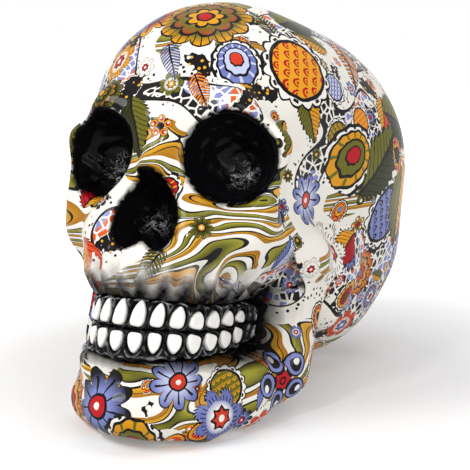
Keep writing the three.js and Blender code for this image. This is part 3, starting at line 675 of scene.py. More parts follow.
motifSteps = """
uvX2 = ADD uvX 2
uvXk = DIVIDE uvX2 4
kind = FLOOR uvXk
x = MULTIPLY_ADD kind -4 uvX
uvY2 = ADD uvY 2
uvYk = DIVIDE uvY2 4
palette = FLOOR uvYk
y = MULTIPLY_ADD palette -4 uvY
xx = MULTIPLY x x
rr = MULTIPLY_ADD y y xx
rho = SQRT rr
phi = ARCTAN2 y x
ay = ABSOLUTE y
far = LESS_THAN rho 0.99

aPhi = MULTIPLY phi 4.5
aCos = COSINE aPhi
aAbs = ABSOLUTE aCos
aWave = POWER aAbs 0.5
aEdge = MULTIPLY_ADD aWave 0.42 0.52
aMask = LESS_THAN rho aEdge
aFade = MULTIPLY_ADD rho -2.4 2.9
aFade2 = MINIMUM aFade 2
a0 = MAXIMUM aFade2 1
aVein = GREATER_THAN aAbs 0.968
aShort = LESS_THAN rho 0.74
aVein2 = MULTIPLY aVein aShort
a1 = OVER a0 4 aVein2
aLine = COMPARE rho aEdge 0.06
a2 = OVER a1 4 aLine
aHeart = LESS_THAN rho 0.27
a3 = OVER a2 3 aHeart
aRing = COMPARE rho 0.28 0.035
a4 = OVER a3 4 aRing
aSeed = LESS_THAN rho 0.09
aTone = OVER a4 0 aSeed

bPhi1 = MULTIPLY phi 5.5
bCos1 = COSINE bPhi1
bAbs1 = ABSOLUTE bCos1
bWave1 = POWER bAbs1 0.6
bEdge1 = MULTIPLY_ADD bWave1 0.17 0.80
bMask = LESS_THAN rho bEdge1
bFade = MULTIPLY_ADD rho -4 4.6
bFade2 = MINIMUM bFade 2
b0 = MAXIMUM bFade2 1
bStreak = MULTIPLY phi 33
bStreak2 = COSINE bStreak
bStreak3 = GREATER_THAN bStreak2 0.86
b1 = OVER b0 4 bStreak3
bLine1 = COMPARE rho bEdge1 0.045
b2 = OVER b1 4 bLine1
bPhi2 = MULTIPLY_ADD phi 4.5 0.7
bCos2 = COSINE bPhi2
bAbs2 = ABSOLUTE bCos2
bWave2 = POWER bAbs2 0.6
bEdge2 = MULTIPLY_ADD bWave2 0.16 0.52
bIn2 = LESS_THAN rho bEdge2
bFade3 = MULTIPLY_ADD rho 3 0.7
b3 = OVER b2 bFade3 bIn2
bLine2 = COMPARE rho bEdge2 0.04
b4 = OVER b3 4 bLine2
bPhi3 = MULTIPLY_ADD phi 3.5 0.2
bCos3 = COSINE bPhi3
bAbs3 = ABSOLUTE bCos3
bEdge3 = MULTIPLY_ADD bAbs3 0.13 0.28
bIn3 = LESS_THAN rho bEdge3
b5 = OVER b4 1 bIn3
bLine3 = COMPARE rho bEdge3 0.04
b6 = OVER b5 4 bLine3
bHeart = LESS_THAN rho 0.17
b7 = OVER b6 3 bHeart
bRing = COMPARE rho 0.17 0.03
bTone = OVER b7 4 bRing

cSaw0 = MULTIPLY ay 3
cSaw1 = MULTIPLY_ADD x 6 cSaw0
cSaw = FRACT cSaw1
cBow = SUBTRACT 1 xx
cLean = MULTIPLY_ADD x -0.22 0.50
cWide0 = MULTIPLY cBow cLean
cWide = MULTIPLY_ADD cSaw 0.09 cWide0
cMask0 = LESS_THAN ay cWide
cMask = MULTIPLY cMask0 far
cUpper = GREATER_THAN y 0
c0 = OVER 2 1 cUpper
cSide0 = MULTIPLY_ADD ay -0.9 x
cSide1 = MULTIPLY cSide0 5.5
cSide2 = FRACT cSide1
cSide = LESS_THAN cSide2 0.16
c1 = OVER c0 4 cSide
cMid = LESS_THAN ay 0.036
c2 = OVER c1 4 cMid
cLine = COMPARE ay cWide 0.05
cTone = OVER c2 4 cLine

dPhi = ADD phi 0.6283
dCell = FLOORED_MODULO dPhi 1.25664
dTurn = SUBTRACT dCell 0.6283
dCos = COSINE dTurn
dSin = SINE dTurn
dX = MULTIPLY_ADD rho dCos -0.6
dY = MULTIPLY rho dSin
dXX = MULTIPLY dX dX
dRR = MULTIPLY_ADD dY dY dXX
dFar = SQRT dRR
dBerry = LESS_THAN dFar 0.34
dStar0 = MULTIPLY_ADD dCos 0.9 -0.45
dLeaf = LESS_THAN rho dStar0
dMask = MAXIMUM dBerry dLeaf
dLit = LESS_THAN dFar 0.2
d0 = OVER 2 1 dLit
d1 = OVER 3 d0 dBerry
dGx = SUBTRACT dX 0.06
dGy = SUBTRACT dY 0.07
dGxx = MULTIPLY dGx dGx
dGrr = MULTIPLY_ADD dGy dGy dGxx
dGlint = LESS_THAN dGrr 0.009
d2 = OVER d1 0 dGlint
dLine = COMPARE dFar 0.34 0.05
d3 = OVER d2 4 dLine
dHeart = COMPARE rho 0.1 0.03
dTone = OVER d3 4 dHeart

ePhi = MULTIPLY phi 8
eCos = COSINE ePhi
eAbs = ABSOLUTE eCos
eEdge = MULTIPLY_ADD eAbs 0.10 0.84
eMask = LESS_THAN rho eEdge
eV = MULTIPLY_ADD y 4 40
eRow = FLOOR eV
eOdd = FLOORED_MODULO eRow 2
eU0 = MULTIPLY_ADD x 4 40
eU1 = MULTIPLY_ADD eOdd 0.5 eU0
eU2 = FRACT eU1
eCu = SUBTRACT eU2 0.5
eV2 = FRACT eV
eCv = MULTIPLY eV2 0.75
eUU = MULTIPLY eCu eCu
eRR = MULTIPLY_ADD eCv eCv eUU
eD = SQRT eRR
eIn = LESS_THAN eD 0.42
e0 = OVER 2 1 eIn
eArc = COMPARE eD 0.2 0.05
e1 = OVER e0 2 eArc
eRim0 = GREATER_THAN rho 0.70
e2 = OVER e1 0 eRim0
ePip0 = COSINE ePhi
ePip1 = GREATER_THAN ePip0 0.8
ePip2 = COMPARE rho 0.79 0.035
ePip = MULTIPLY ePip1 ePip2
e3 = OVER e2 4 ePip
eRim1 = COMPARE rho 0.70 0.045
e4 = OVER e3 4 eRim1
eLine = COMPARE rho eEdge 0.055
eTone = OVER e4 4 eLine

fCos = COSINE phi
fTwo = MULTIPLY phi 2
fCosTwo = COSINE fTwo
fFan0 = MULTIPLY phi 12
fFan1 = COSINE fFan0
fEgg0 = MULTIPLY_ADD fCos 0.34 1.14
fEgg1 = MULTIPLY_ADD fCosTwo -0.10 fEgg0
fEgg2 = MULTIPLY_ADD fFan1 0.03 fEgg1
fQ = MULTIPLY rho fEgg2
fMask = LESS_THAN fQ 0.98
fIn1 = LESS_THAN fQ 0.72
fIn2 = LESS_THAN fQ 0.47
f2 = OVER fIn1 2 fIn2
fIn3 = LESS_THAN fQ 0.24
f3 = OVER f2 3 fIn3
fLineA = COMPARE fQ 0.92 0.065
f4 = OVER f3 4 fLineA
fLineB = COMPARE fQ 0.72 0.04
f5 = OVER f4 4 fLineB
fLineC = COMPARE fQ 0.47 0.035
f6 = OVER f5 4 fLineC
fLineD = COMPARE fQ 0.24 0.025
f7 = OVER f6 4 fLineD
fPip0 = GREATER_THAN fFan1 0.75
fPip1 = COMPARE fQ 0.83 0.035
fPip = MULTIPLY fPip0 fPip1
f8 = OVER f7 4 fPip
fRay0 = COMPARE fQ 0.60 0.09
fRay1 = MULTIPLY fRay0 fPip0
fTone = OVER f8 2 fRay1

gTip = SUBTRACT 1 x
gBase = ADD x 1.05
gBase2 = POWER gBase 0.5
gWide0 = MULTIPLY gTip gBase2
gWide = MULTIPLY gWide0 0.40
gIn = LESS_THAN ay gWide
gRib0 = MULTIPLY_ADD ay -0.7 x
gRib1 = MULTIPLY gRib0 6
gRib = FRACT gRib1
gLeaf = LESS_THAN gRib 0.74
gStem = LESS_THAN ay 0.04
gMask0 = MULTIPLY gIn gLeaf
gMask1 = MAXIMUM gMask0 gStem
gMask = MULTIPLY gMask1 far
gHalf = LESS_THAN gRib 0.34
g0 = OVER 2 1 gHalf
gLine = COMPARE gRib 0.72 0.05
g1 = OVER g0 4 gLine
gLine2 = COMPARE gRib 0.02 0.05
g2 = OVER g1 4 gLine2
gLine3 = COMPARE ay gWide 0.04
g3 = OVER g2 4 gLine3
gTone = OVER g3 4 gStem

hPhi = MULTIPLY phi 3.5
hCos = COSINE hPhi
hAbs = ABSOLUTE hCos
hWave = POWER hAbs 0.45
hSaw0 = MULTIPLY phi 7.8
hSaw = FRACT hSaw0
hEdge0 = MULTIPLY_ADD hWave 0.40 0.42
hEdge = MULTIPLY_ADD hSaw 0.11 hEdge0
hMask = LESS_THAN rho hEdge
hRay0 = MULTIPLY phi 28
hRay1 = COSINE hRay0
hRay2 = GREATER_THAN hRay1 0.72
hRay3 = LESS_THAN rho 0.66
hRay = MULTIPLY hRay2 hRay3
h0 = OVER 1 4 hRay
hPale = MULTIPLY_ADD rho 4 -1.2
hIn = LESS_THAN rho 0.5
hPale2 = MINIMUM hPale 1
h1 = OVER h0 hPale2 hIn
hEdge2 = MULTIPLY_ADD hAbs -0.10 0.34
hIn2 = LESS_THAN rho hEdge2
h2 = OVER h1 3 hIn2
hLine2 = COMPARE rho hEdge2 0.04
hLine = COMPARE rho hEdge 0.05
h3a = OVER h2 4 hLine2
h3 = OVER h3a 4 hLine
hSeed = LESS_THAN rho 0.1
hTone = OVER h3 0 hSeed
"""

selectSteps = """
is{i} = COMPARE kind {i} 0.5
tone{i} = MULTIPLY_ADD is{i} {letter}Tone {toneBefore}
mask{i} = MULTIPLY_ADD is{i} {letter}Mask {maskBefore}
"""


def motifGroup():
    tree = bpy.data.node_groups.new("printMotif", "ShaderNodeTree")
    tree.interface.new_socket("Place", in_out="INPUT", socket_type="NodeSocketVector")
    tree.interface.new_socket("Colour", in_out="OUTPUT", socket_type="NodeSocketColor")
    tree.interface.new_socket("Mask", in_out="OUTPUT", socket_type="NodeSocketFloat")
    start = addNode(tree, "NodeGroupInput")
    apart = addNode(tree, "ShaderNodeSeparateXYZ", {0: start.outputs["Place"]})
    known = {"uvX": apart.outputs[0], "uvY": apart.outputs[1]}
    workOut(tree, known, motifSteps)
    toneBefore = maskBefore = "0"
    for i, letter in enumerate("abcdefgh"):
        steps = selectSteps.format(i=i, letter=letter, toneBefore=toneBefore, maskBefore=maskBefore)
        workOut(tree, known, steps)
        toneBefore, maskBefore = f"tone{i}", f"mask{i}"
    workOut(tree, known, f"""
pick0 = ADD palette 0.5
pick = DIVIDE pick0 {printLayout['palettes']}
level1 = SUBTRACT tone7 1
level2 = SUBTRACT tone7 2
level3 = SUBTRACT tone7 3
""")
    colour = tone(palettes["paper"])
    for level, name in (("tone7", "main"), ("level1", "second"), ("level2", "accent"), ("level3", "ink")):
        over = tone(palettes["ink"])
        if name != "ink":
            ramp = addNode(tree, "ShaderNodeValToRGB", {"Fac": known["pick"]})
            ramp.color_ramp.interpolation = "CONSTANT"
            stops = ramp.color_ramp.elements
            while len(stops) < len(palettes[name]):
                stops.new(0.5)
            for i, colourCode in enumerate(palettes[name]):
                stops[i].position, stops[i].color = i / len(palettes[name]), tone(colourCode)
            over = ramp.outputs[0]
        colour = addNode(tree, "ShaderNodeMix", {0: known[level], 6: colour, 7: over},
                         data_type="RGBA").outputs[2]
    addNode(tree, "NodeGroupOutput", {"Colour": colour, "Mask": known["mask7"]})
    return tree


# Cast polyester resin, printed and coated: a clear gloss coat over flat print colours
resin = {
    "ground": "#F1EDE4",
    "mustard": ("#9C6410", "#E9AE2B"),  # from the shaded edge of a ribbon to its light edge
    "olive": ("#4C4A14", "#9A952F"),
    "lines": "#151214",
    "nets": ("#868FC4", "#1C191D", "#DB5A1E"),  # blue scales, and others in ink and in red
    "netEdge": "#1A171A",
    "patch": "#131013",
    "patchEdge": "#F4F1EA",
    "patchPips": "#E6A626",
    "black": "#09080A",         # sprayed round the gums and the pits, and painted shade in the hollows and the root grooves
    "worn": "#DFDCD8",          # pale where the spray is worn off the ridges of the tooth roots, and painted highlight on their crests
    "coatWeights": (0.32, 0.04),        # on the print, and on the black, which is spray and painted shade
    "roughnesses": (0.42, 0.16),
    "coatRoughness": 0.06,
    "peel": 3.2,                # mm, spacing of the coat's slight orange peel
    "wobble": 0.05,             # how far the hand-drawn lines stray, as a share of a motif
}


def printedResin():
    material, tree = newMaterial("varnishedPrintedResin")
    coords = addNode(tree, "ShaderNodeTexCoord").outputs["Object"]
    painted = {name: addNode(tree, "ShaderNodeAttribute", attribute_name=name).outputs["Fac"]
               for name in pointValues}
    stray = addNode(tree, "ShaderNodeTexNoise", {"Vector": coords, "Scale": every(4), "Detail": 2.0})
    centred = addNode(tree, "ShaderNodeVectorMath", {0: stray.outputs["Color"], 1: (0.5, 0.5, 0.5)},
                      operation="SUBTRACT")
    wobble = addNode(tree, "ShaderNodeVectorMath", {0: centred.outputs[0], "Scale": resin["wobble"] * 2},
                     operation="SCALE")
    # The ground: white with sweeping ribbons of mustard and olive, scale nets, inked patches with jagged
    # edges, and pips
    spread = addNode(tree, "ShaderNodeMapping", {"Vector": coords, "Rotation": (0.0, -0.25, 0.0),
                                                 "Scale": (0.42, 0.62, 1.25)})
    drift = addNode(tree, "ShaderNodeTexNoise", {"Vector": spread.outputs[0], "Scale": every(25),
                                                 "Detail": 0.6, "Distortion": 0.7})
    zone = addNode(tree, "ShaderNodeTexNoise", {"Vector": coords, "Scale": every(26), "Detail": 0.0})
    patch = addNode(tree, "ShaderNodeTexNoise", {"Vector": coords, "Scale": every(15), "Detail": 0.0})
    jag = addNode(tree, "ShaderNodeTexVoronoi", {"Vector": coords, "Scale": every(1.7)})
    cells = addNode(tree, "ShaderNodeTexVoronoi", {"Vector": coords, "Scale": every(2.6)},
                    feature="DISTANCE_TO_EDGE")
    pips = addNode(tree, "ShaderNodeTexVoronoi", {"Vector": coords, "Scale": every(1.9)})
    apart = addNode(tree, "ShaderNodeSeparateXYZ", {0: coords})
    known = workOut(tree, {
        **painted, "x": apart.outputs[0], "z": apart.outputs[2],
        "drift": drift.outputs["Fac"], "zone0": zone.outputs["Fac"], "patch": patch.outputs["Fac"],
        "jag": jag.outputs["Distance"], "edge": cells.outputs["Distance"], "pip": pips.outputs["Distance"],
    }, """
zone = MULTIPLY_ADD faceShare 0.16 zone0
sideways = ABSOLUTE x
sweep0 = MULTIPLY sideways -32
sweep = MULTIPLY_ADD z 95 sweep0
band0 = MULTIPLY_ADD drift 7 sweep
band = FRACT band0
gold = MULTIPLY_ADD patch 0.55 0.03
oliveWide = MULTIPLY_ADD patch -0.3 0.28
oliveSide = ADD oliveWide 0.60
mustard = LESS_THAN band gold
shadeA = MULTIPLY_ADD band 3.0 0.05
shadeB0 = SUBTRACT band 0.45
shadeB = MULTIPLY shadeB0 3.6
olive = COMPARE band 0.60 oliveWide
line1 = COMPARE band gold 0.035
line2 = COMPARE band oliveSide 0.032
line3 = COMPARE band 0.46 0.024
line4 = COMPARE band 0.12 0.012
linesA = MAXIMUM line1 line2
linesB = MAXIMUM line3 line4
lines = MAXIMUM linesA linesB
ribbons = GREATER_THAN zone 0.55
netZone = LESS_THAN zone 0.385
pipZone = COMPARE zone 0.43 0.03
cell = GREATER_THAN edge 0.11
netOn = MULTIPLY cell netZone
pipIn = LESS_THAN pip 0.26
pipOn = MULTIPLY pipIn pipZone
border = COMPARE zone 0.385 0.008
mustardOn = MULTIPLY mustard ribbons
oliveOn = MULTIPLY olive ribbons
linesOn = MULTIPLY lines ribbons
inkNet = LESS_THAN patch 0.47
fireNet = GREATER_THAN patch 0.57
calm = MULTIPLY_ADD faceShare -0.09 patch
jagged = MULTIPLY_ADD jag 0.09 calm
inkWide = GREATER_THAN jagged 0.685
inkOnly = GREATER_THAN jagged 0.70
inkPip = MULTIPLY pipIn inkOnly
""")
    covers = {}                     # the covering colours that vary from place to place
    for name, mask in (("mustard", "shadeA"), ("olive", "shadeB"), ("nets", "inkNet")):
        under, over = resin[name][:2]
        covers[name] = addNode(tree, "ShaderNodeMix", {0: known[mask], 6: tone(under), 7: tone(over)},
                               data_type="RGBA").outputs[2]
    net = addNode(tree, "ShaderNodeMix", {0: known["fireNet"], 6: covers["nets"], 7: tone(resin["nets"][2])},
                  data_type="RGBA").outputs[2]
    colour = tone(resin["ground"])
    for mask, over in (
        ("netOn", net), ("pipOn", tone(resin["lines"])), ("mustardOn", covers["mustard"]),
        ("oliveOn", covers["olive"]), ("linesOn", tone(resin["lines"])), ("border", tone(resin["netEdge"])),
        ("inkWide", tone(resin["patchEdge"])), ("inkOnly", tone(resin["patch"])),
        ("inkPip", tone(resin["patchPips"])),
    ):
        colour = addNode(tree, "ShaderNodeMix", {0: known[mask], 6: colour, 7: over},
                         data_type="RGBA").outputs[2]
    group = motifGroup()
    for layer in layerUvs:
        uv = addNode(tree, "ShaderNodeUVMap", uv_map=layer)
        moved = addNode(tree, "ShaderNodeVectorMath", {0: uv.outputs[0], 1: wobble.outputs[0]},
                        operation="ADD")
        motif = addNode(tree, "ShaderNodeGroup", node_tree=group)
        tree.links.new(moved.outputs[0], motif.inputs[0])
        colour = addNode(tree, "ShaderNodeMix", {
            0: motif.outputs["Mask"], 6: colour, 7: motif.outputs["Colour"]}, data_type="RGBA").outputs[2]
    # Sprayed black round the sockets, the nose and the gums; black in the root grooves and the enclosed
    # hollows, partly airbrush and partly painted shade; and pale crests on the root ridges, partly spray
    # worn off and partly painted highlight
    cloud = addNode(tree, "ShaderNodeTexNoise", {"Vector": coords, "Scale": every(2), "Detail": 3.0})
    (coatPrint, coatBlack), (mattPrint, mattBlack) = resin["coatWeights"], resin["roughnesses"]
    known = workOut(tree, {**painted, "cloud": cloud.outputs["Fac"]}, f"""
pale0 = MULTIPLY_ADD cloud 1.3 0.1
pale1 = MULTIPLY pale0 rootZone
pale = MINIMUM pale1 0.7
loose = MULTIPLY_ADD cloud 1.6 -0.8
pitAway = ADD pitDistance loose
pit0 = MULTIPLY_ADD pitAway -0.9 1.5
pitMin = MINIMUM pit0 1
pitBlack = MAXIMUM pitMin 0
gum0 = ADD gumDistance loose
gum1 = MULTIPLY_ADD gum0 -0.28 1.0
gumMin = MINIMUM gum1 1
gumMax = MAXIMUM gumMin 0
gumBlack = POWER gumMax 0.6
hollow0 = MULTIPLY_ADD hollowness 1.6 -0.95
hollow1 = MINIMUM hollow0 0.3
hollowDark = MAXIMUM hollow1 0
grooveDark0 = MULTIPLY_ADD cloud 0.6 0.18
grooveDark = MULTIPLY rootGroove grooveDark0
black0 = MAXIMUM pitBlack grooveDark
black1 = MAXIMUM black0 gumBlack
black = MAXIMUM black1 hollowDark
coat = OVER {coatPrint} {coatBlack} black
matt = OVER {mattPrint} {mattBlack} black
""")
    # Pale on the root ridges is worn-off spray and painted highlight; the black is spray and painted shade
    for mask, over in (("pale", resin["worn"]), ("black", resin["black"])):
        colour = addNode(tree, "ShaderNodeMix", {0: known[mask], 6: colour, 7: tone(over)},
                         data_type="RGBA").outputs[2]
    peel = addNode(tree, "ShaderNodeTexNoise", {"Vector": coords, "Scale": every(resin["peel"]),
                                                "Detail": 1.0})
    bump = addNode(tree, "ShaderNodeBump", {"Height": peel.outputs["Fac"], "Strength": 0.12,
                                            "Distance": 0.1 * mm})
    shader = addNode(tree, "ShaderNodeBsdfPrincipled", {
        "Base Color": colour, "Roughness": known["matt"], "IOR": 1.05,
        "Coat Weight": known["coat"], "Coat IOR": 1.45,
        "Coat Roughness": resin["coatRoughness"], "Normal": bump.outputs[0]})
    addNode(tree, "ShaderNodeOutputMaterial", {"Surface": shader.outputs[0]})
    return material


# Thick black gloss enamel, brushed on: deep black, wet shine, drying wrinkles, and painted highlights drawn
# as pale glint lines
enamel = {
    "colours": ("#0A090B", "#0D0C0F"),
    "crazeGlints": "#B9BABD",        # painted highlight: pale glint lines low inside the sockets, along the crazing, drawn coarser than the real ones
    "gumGlints": "#B4B5B8",        # painted highlight: glint lines along the crests of the gums
    "roughness": 0.12,
    "specular": 0.07,
    "wrinkle": 1.6,             # mm between drying wrinkles
    "craze": 2.28,              # mm between the painted glint lines
}


def blackEnamel(name, crazed, strength):
    material, tree = newMaterial(name)
    coords = addNode(tree, "ShaderNodeTexCoord").outputs["Object"]
    wrinkle = addNode(tree, "ShaderNodeTexNoise", {"Vector": coords, "Scale": every(enamel["wrinkle"]),
                                                   "Detail": 2.0, "Distortion": 1.2})
    tint = addNode(tree, "ShaderNodeTexNoise", {"Vector": coords, "Scale": every(9)})
    colours = [tone(code) for code in enamel["colours"]]
    colour = addNode(tree, "ShaderNodeMix", {0: tint.outputs["Fac"], 6: colours[0], 7: colours[1]},
                     data_type="RGBA").outputs[2]
    if crazed:
        # Painted highlight: pale glint lines in a patch low inside each socket, for the light on the crazed
        # enamel
        pale = tone(enamel["crazeGlints"])
        share = addNode(tree, "ShaderNodeAttribute", attribute_name="crazeGlintShare").outputs["Fac"]
        vein = addNode(tree, "ShaderNodeTexNoise", {"Vector": coords, "Scale": every(enamel["craze"]),
                                                    "Detail": 1.5, "Distortion": 1.6})
        patch = addNode(tree, "ShaderNodeTexNoise", {"Vector": coords, "Scale": every(2.4), "Detail": 2.0})
        marks = workOut(tree, {
            "share": share, "vein": vein.outputs["Fac"], "patch": patch.outputs["Fac"]}, """
off0 = SUBTRACT vein 0.5
off1 = ABSOLUTE off0
line0 = MULTIPLY_ADD off1 -15 1.05
line = MAXIMUM line0 0
spread0 = MULTIPLY_ADD patch 5.5 -3.0
spread1 = ADD spread0 share
spread2 = MULTIPLY spread1 share
spread3 = MAXIMUM spread2 0
spread = MINIMUM spread3 1
mark0 = MULTIPLY line spread
mark = MULTIPLY mark0 0.85
""")["mark"]
    else:
        # Painted highlight: pale glint lines on the crests of the gums
        pale = tone(enamel["gumGlints"])
        crest = addNode(tree, "ShaderNodeAttribute", attribute_name="gumGlints").outputs["Fac"]
        grain = addNode(tree, "ShaderNodeTexNoise", {"Vector": coords, "Scale": every(2.2), "Detail": 1.0})
        marks = workOut(tree, {"crest": crest, "grain": grain.outputs["Fac"]}, """
grain0 = MULTIPLY_ADD grain 6 -2.5
mark0 = MULTIPLY crest grain0
mark1 = MAXIMUM mark0 0
mark2 = MINIMUM mark1 1
mark = MULTIPLY mark2 0.95
""")["mark"]
    colour = addNode(tree, "ShaderNodeMix", {0: marks, 6: colour, 7: pale}, data_type="RGBA").outputs[2]
    bump = addNode(tree, "ShaderNodeBump", {"Height": wrinkle.outputs["Fac"], "Strength": strength,
                                            "Distance": 0.4 * mm})
    shader = addNode(tree, "ShaderNodeBsdfPrincipled", {
        "Base Color": colour, "Roughness": enamel["roughness"], "IOR": 1.45,
        "Specular IOR Level": enamel["specular"], "Normal": bump.outputs[0]})
    addNode(tree, "ShaderNodeOutputMaterial", {"Surface": shader.outputs[0]})
    return material


# White gloss enamel: bright, slightly warm, with faint brush marks and specks of the black
white = {
    "colours": ("#FBFAF6", "#F1EEE7"),
    "speck": "#8B8880",
    "roughness": 0.2,
}


def whiteEnamel():
    material, tree = newMaterial("whiteGlossEnamel")
    coords = addNode(tree, "ShaderNodeTexCoord").outputs["Object"]
    stain = addNode(tree, "ShaderNodeTexNoise", {"Vector": coords, "Scale": every(5), "Detail": 2.0})
    speck = addNode(tree, "ShaderNodeTexVoronoi", {"Vector": coords, "Scale": every(1.6)})
    known = workOut(tree, {"speck": speck.outputs["Distance"]}, """
near = LESS_THAN speck 0.07
speckOn = MULTIPLY near 0.5
""")
    colour = tone(white["colours"][0])
    for mask, over in ((stain.outputs["Fac"], white["colours"][1]), (known["speckOn"], white["speck"])):
        colour = addNode(tree, "ShaderNodeMix", {0: mask, 6: colour, 7: tone(over)},
                         data_type="RGBA").outputs[2]
    bump = addNode(tree, "ShaderNodeBump", {"Height": stain.outputs["Fac"], "Strength": 0.15,
                                            "Distance": 0.2 * mm})
    shader = addNode(tree, "ShaderNodeBsdfPrincipled", {
        "Base Color": colour, "Roughness": white["roughness"], "IOR": 1.5, "Normal": bump.outputs[0]})
    addNode(tree, "ShaderNodeOutputMaterial", {"Surface": shader.outputs[0]})
    return material


# Closed-cell foam rubber: matt, with fine open pores at its cut faces
foam = {
    "colours": ("#8F8E8A", "#767571"),
    "roughness": 0.9,
    "pores": 0.45,              # mm between pores
}


def greyFoam():
    material, tree = newMaterial("greyFoamRubber")
    coords = addNode(tree, "ShaderNodeTexCoord").outputs["Object"]
    pores = addNode(tree, "ShaderNodeTexVoronoi", {"Vector": coords, "Scale": every(foam["pores"])})
    cloud = addNode(tree, "ShaderNodeTexNoise", {"Vector": coords, "Scale": every(2)})
    colours = [tone(code) for code in foam["colours"]]
    colour = addNode(tree, "ShaderNodeMix", {0: cloud.outputs["Fac"], 6: colours[0], 7: colours[1]},
                     data_type="RGBA").outputs[2]
    bump = addNode(tree, "ShaderNodeBump", {"Height": pores.outputs["Distance"], "Strength": 0.6,
                                            "Distance": 0.15 * mm})
    shader = addNode(tree, "ShaderNodeBsdfPrincipled", {
        "Base Color": colour, "Roughness": foam["roughness"], "Normal": bump.outputs[0]})
    addNode(tree, "ShaderNodeOutputMaterial", {"Surface": shader.outputs[0]})
    return material


resinMaterial = printedResin()
blackMaterial = blackEnamel("blackGlossEnamel", False, 0.3)
glintedBlackMaterial = blackEnamel("crazedBlackEnamel", True, 0.25)
whiteMaterial, foamMaterial = whiteEnamel(), greyFoam()


# Putting pieces into the scene
def addPiece(name, points, faces, material, nodes):
    mesh = bpy.data.meshes.new(name)
    mesh.from_pydata((points * mm).tolist(), [], faces)
    mesh.materials.append(material)
    mesh.shade_smooth()
    mesh.update()
    piece = bpy.data.objects.new(name, mesh)
    bpy.context.scene.collection.objects.link(piece)
    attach(piece, root)
    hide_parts(*nodes)
    return piece


# Closes each hole along the seam with a fan to the middle of its rim.
def fansOver(faces, points):
    edges = {}
    for face in faces:
        for a, b in zip(face, (*face[1:], face[0])):
            edges[(a, b)] = edges.get((a, b), 0) + 1
    following = {b: a for (a, b) in edges if (b, a) not in edges}
    fans, centres = [], []
    while following:
        start = next(iter(following))
        loop, here = [], start
        while here in following:
            loop.append(here)
            here = following.pop(here)
        centre = len(points) + len(centres)
        centres.append(points[loop].mean(0))
        fans += [[a, b, centre] for a, b in zip(loop, (*loop[1:], loop[0]))]
    return fans, np.array(centres).reshape(-1, 3)


def ringPairs(first, around):           # each point of a ring with the next one round it
    return [(first + i, first + (i + 1) % around) for i in range(around)]


def ringFaces(rings, around, first=0, flip=False):
    pairs = [pair for ring in range(rings - 1) for pair in ringPairs(first + ring * around, around)]
    return [[a, b, b + around, a + around] if flip else [a, a + around, b + around, b] for a, b in pairs]


def paint(piece, name, values):         # a value for each point, for the materials to read
    values = np.asarray(values).astype(real).ravel()
    piece.data.attributes.new(name, "FLOAT", "POINT").data.foreach_set("value", values)


def addCasting(name, side, node):
    chosen = np.flatnonzero((sideOfSeam[castQuads].mean(1) < 0) == (side < 0))
    used, faces = np.unique(castQuads[chosen], return_inverse=True)
    faces = faces.reshape(-1, 4)
    points = castWorld[used]
    fans, centres = fansOver(faces.tolist(), points)
    print(name, len(faces), "faces,", len(centres), "seam caps")
    points = np.vstack([points, centres])
    piece = addPiece(name, points, faces.tolist() + fans, resinMaterial, [node])
    mesh = piece.data
    for layer, uv in layerUvs.items():
        corners = np.full((len(mesh.loops), 2), noMotif)
        corners[:len(faces) * 4] = uv[chosen].reshape(-1, 2)
        mesh.uv_layers.new(name=layer).data.foreach_set("uv", corners.astype(real).ravel())
    for attribute, values in pointValues.items():
        paint(piece, attribute, np.concatenate([values[used], np.zeros(len(centres))]))
    normals = np.vstack([castWorldNormals[used], np.tile((0, 0, 1), (len(centres), 1))])
    mesh.normals_split_custom_set_from_vertices(normals.tolist())
    return piece


print("casting pieces")
addCasting("printed_cranium", -1, "cranium")
addCasting("printed_mandible", 1, "mandible")


# Socket and nose linings
lining = {
    "clearance": 0.3,           # mm off the bone
    "thickness": 0.9,
    "belowRim": 0.9,            # mm, how far inside the rim the lining thins out to its edge
    "flare": 0.40,              # mm, how far its rim spreads towards the bone
    "thinFrom": 0.35,           # share of the way to the rim from which it thins out and spreads
    "thinBy": 0.88,             # share of its thickness that is gone at the rim
    "around": 112,
    "deep": 44,
    "furthest": 30.0,           # mm, more than from any pit's middle to its wall
    "wrinkle": 0.28,            # mm, height of the drying wrinkles
    "wrinkleSize": 5.0,
    "lift": 0.05,               # mm, how much the inner face stands up under them
    "crazeGlintAt": (-1.0, 12.5, -1.2),     # mm from a pit's middle, where the enamel has crazed and the painted glints show
    "crazeGlintReach": (2.5, 7.0),
}


# Smooth made-up relief from a few waves across each other
def ripples(points, seed, size):
    random = np.random.default_rng(seed)
    total = np.zeros(points.shape[:-1])
    for _ in range(14):
        wave = random.normal(size=3)
        wave *= random.uniform(0.6, 1.7) / size / np.linalg.norm(wave)
        total += np.sin(points @ wave * 2 * math.pi + random.uniform(0, 6.28))
    return total / 5


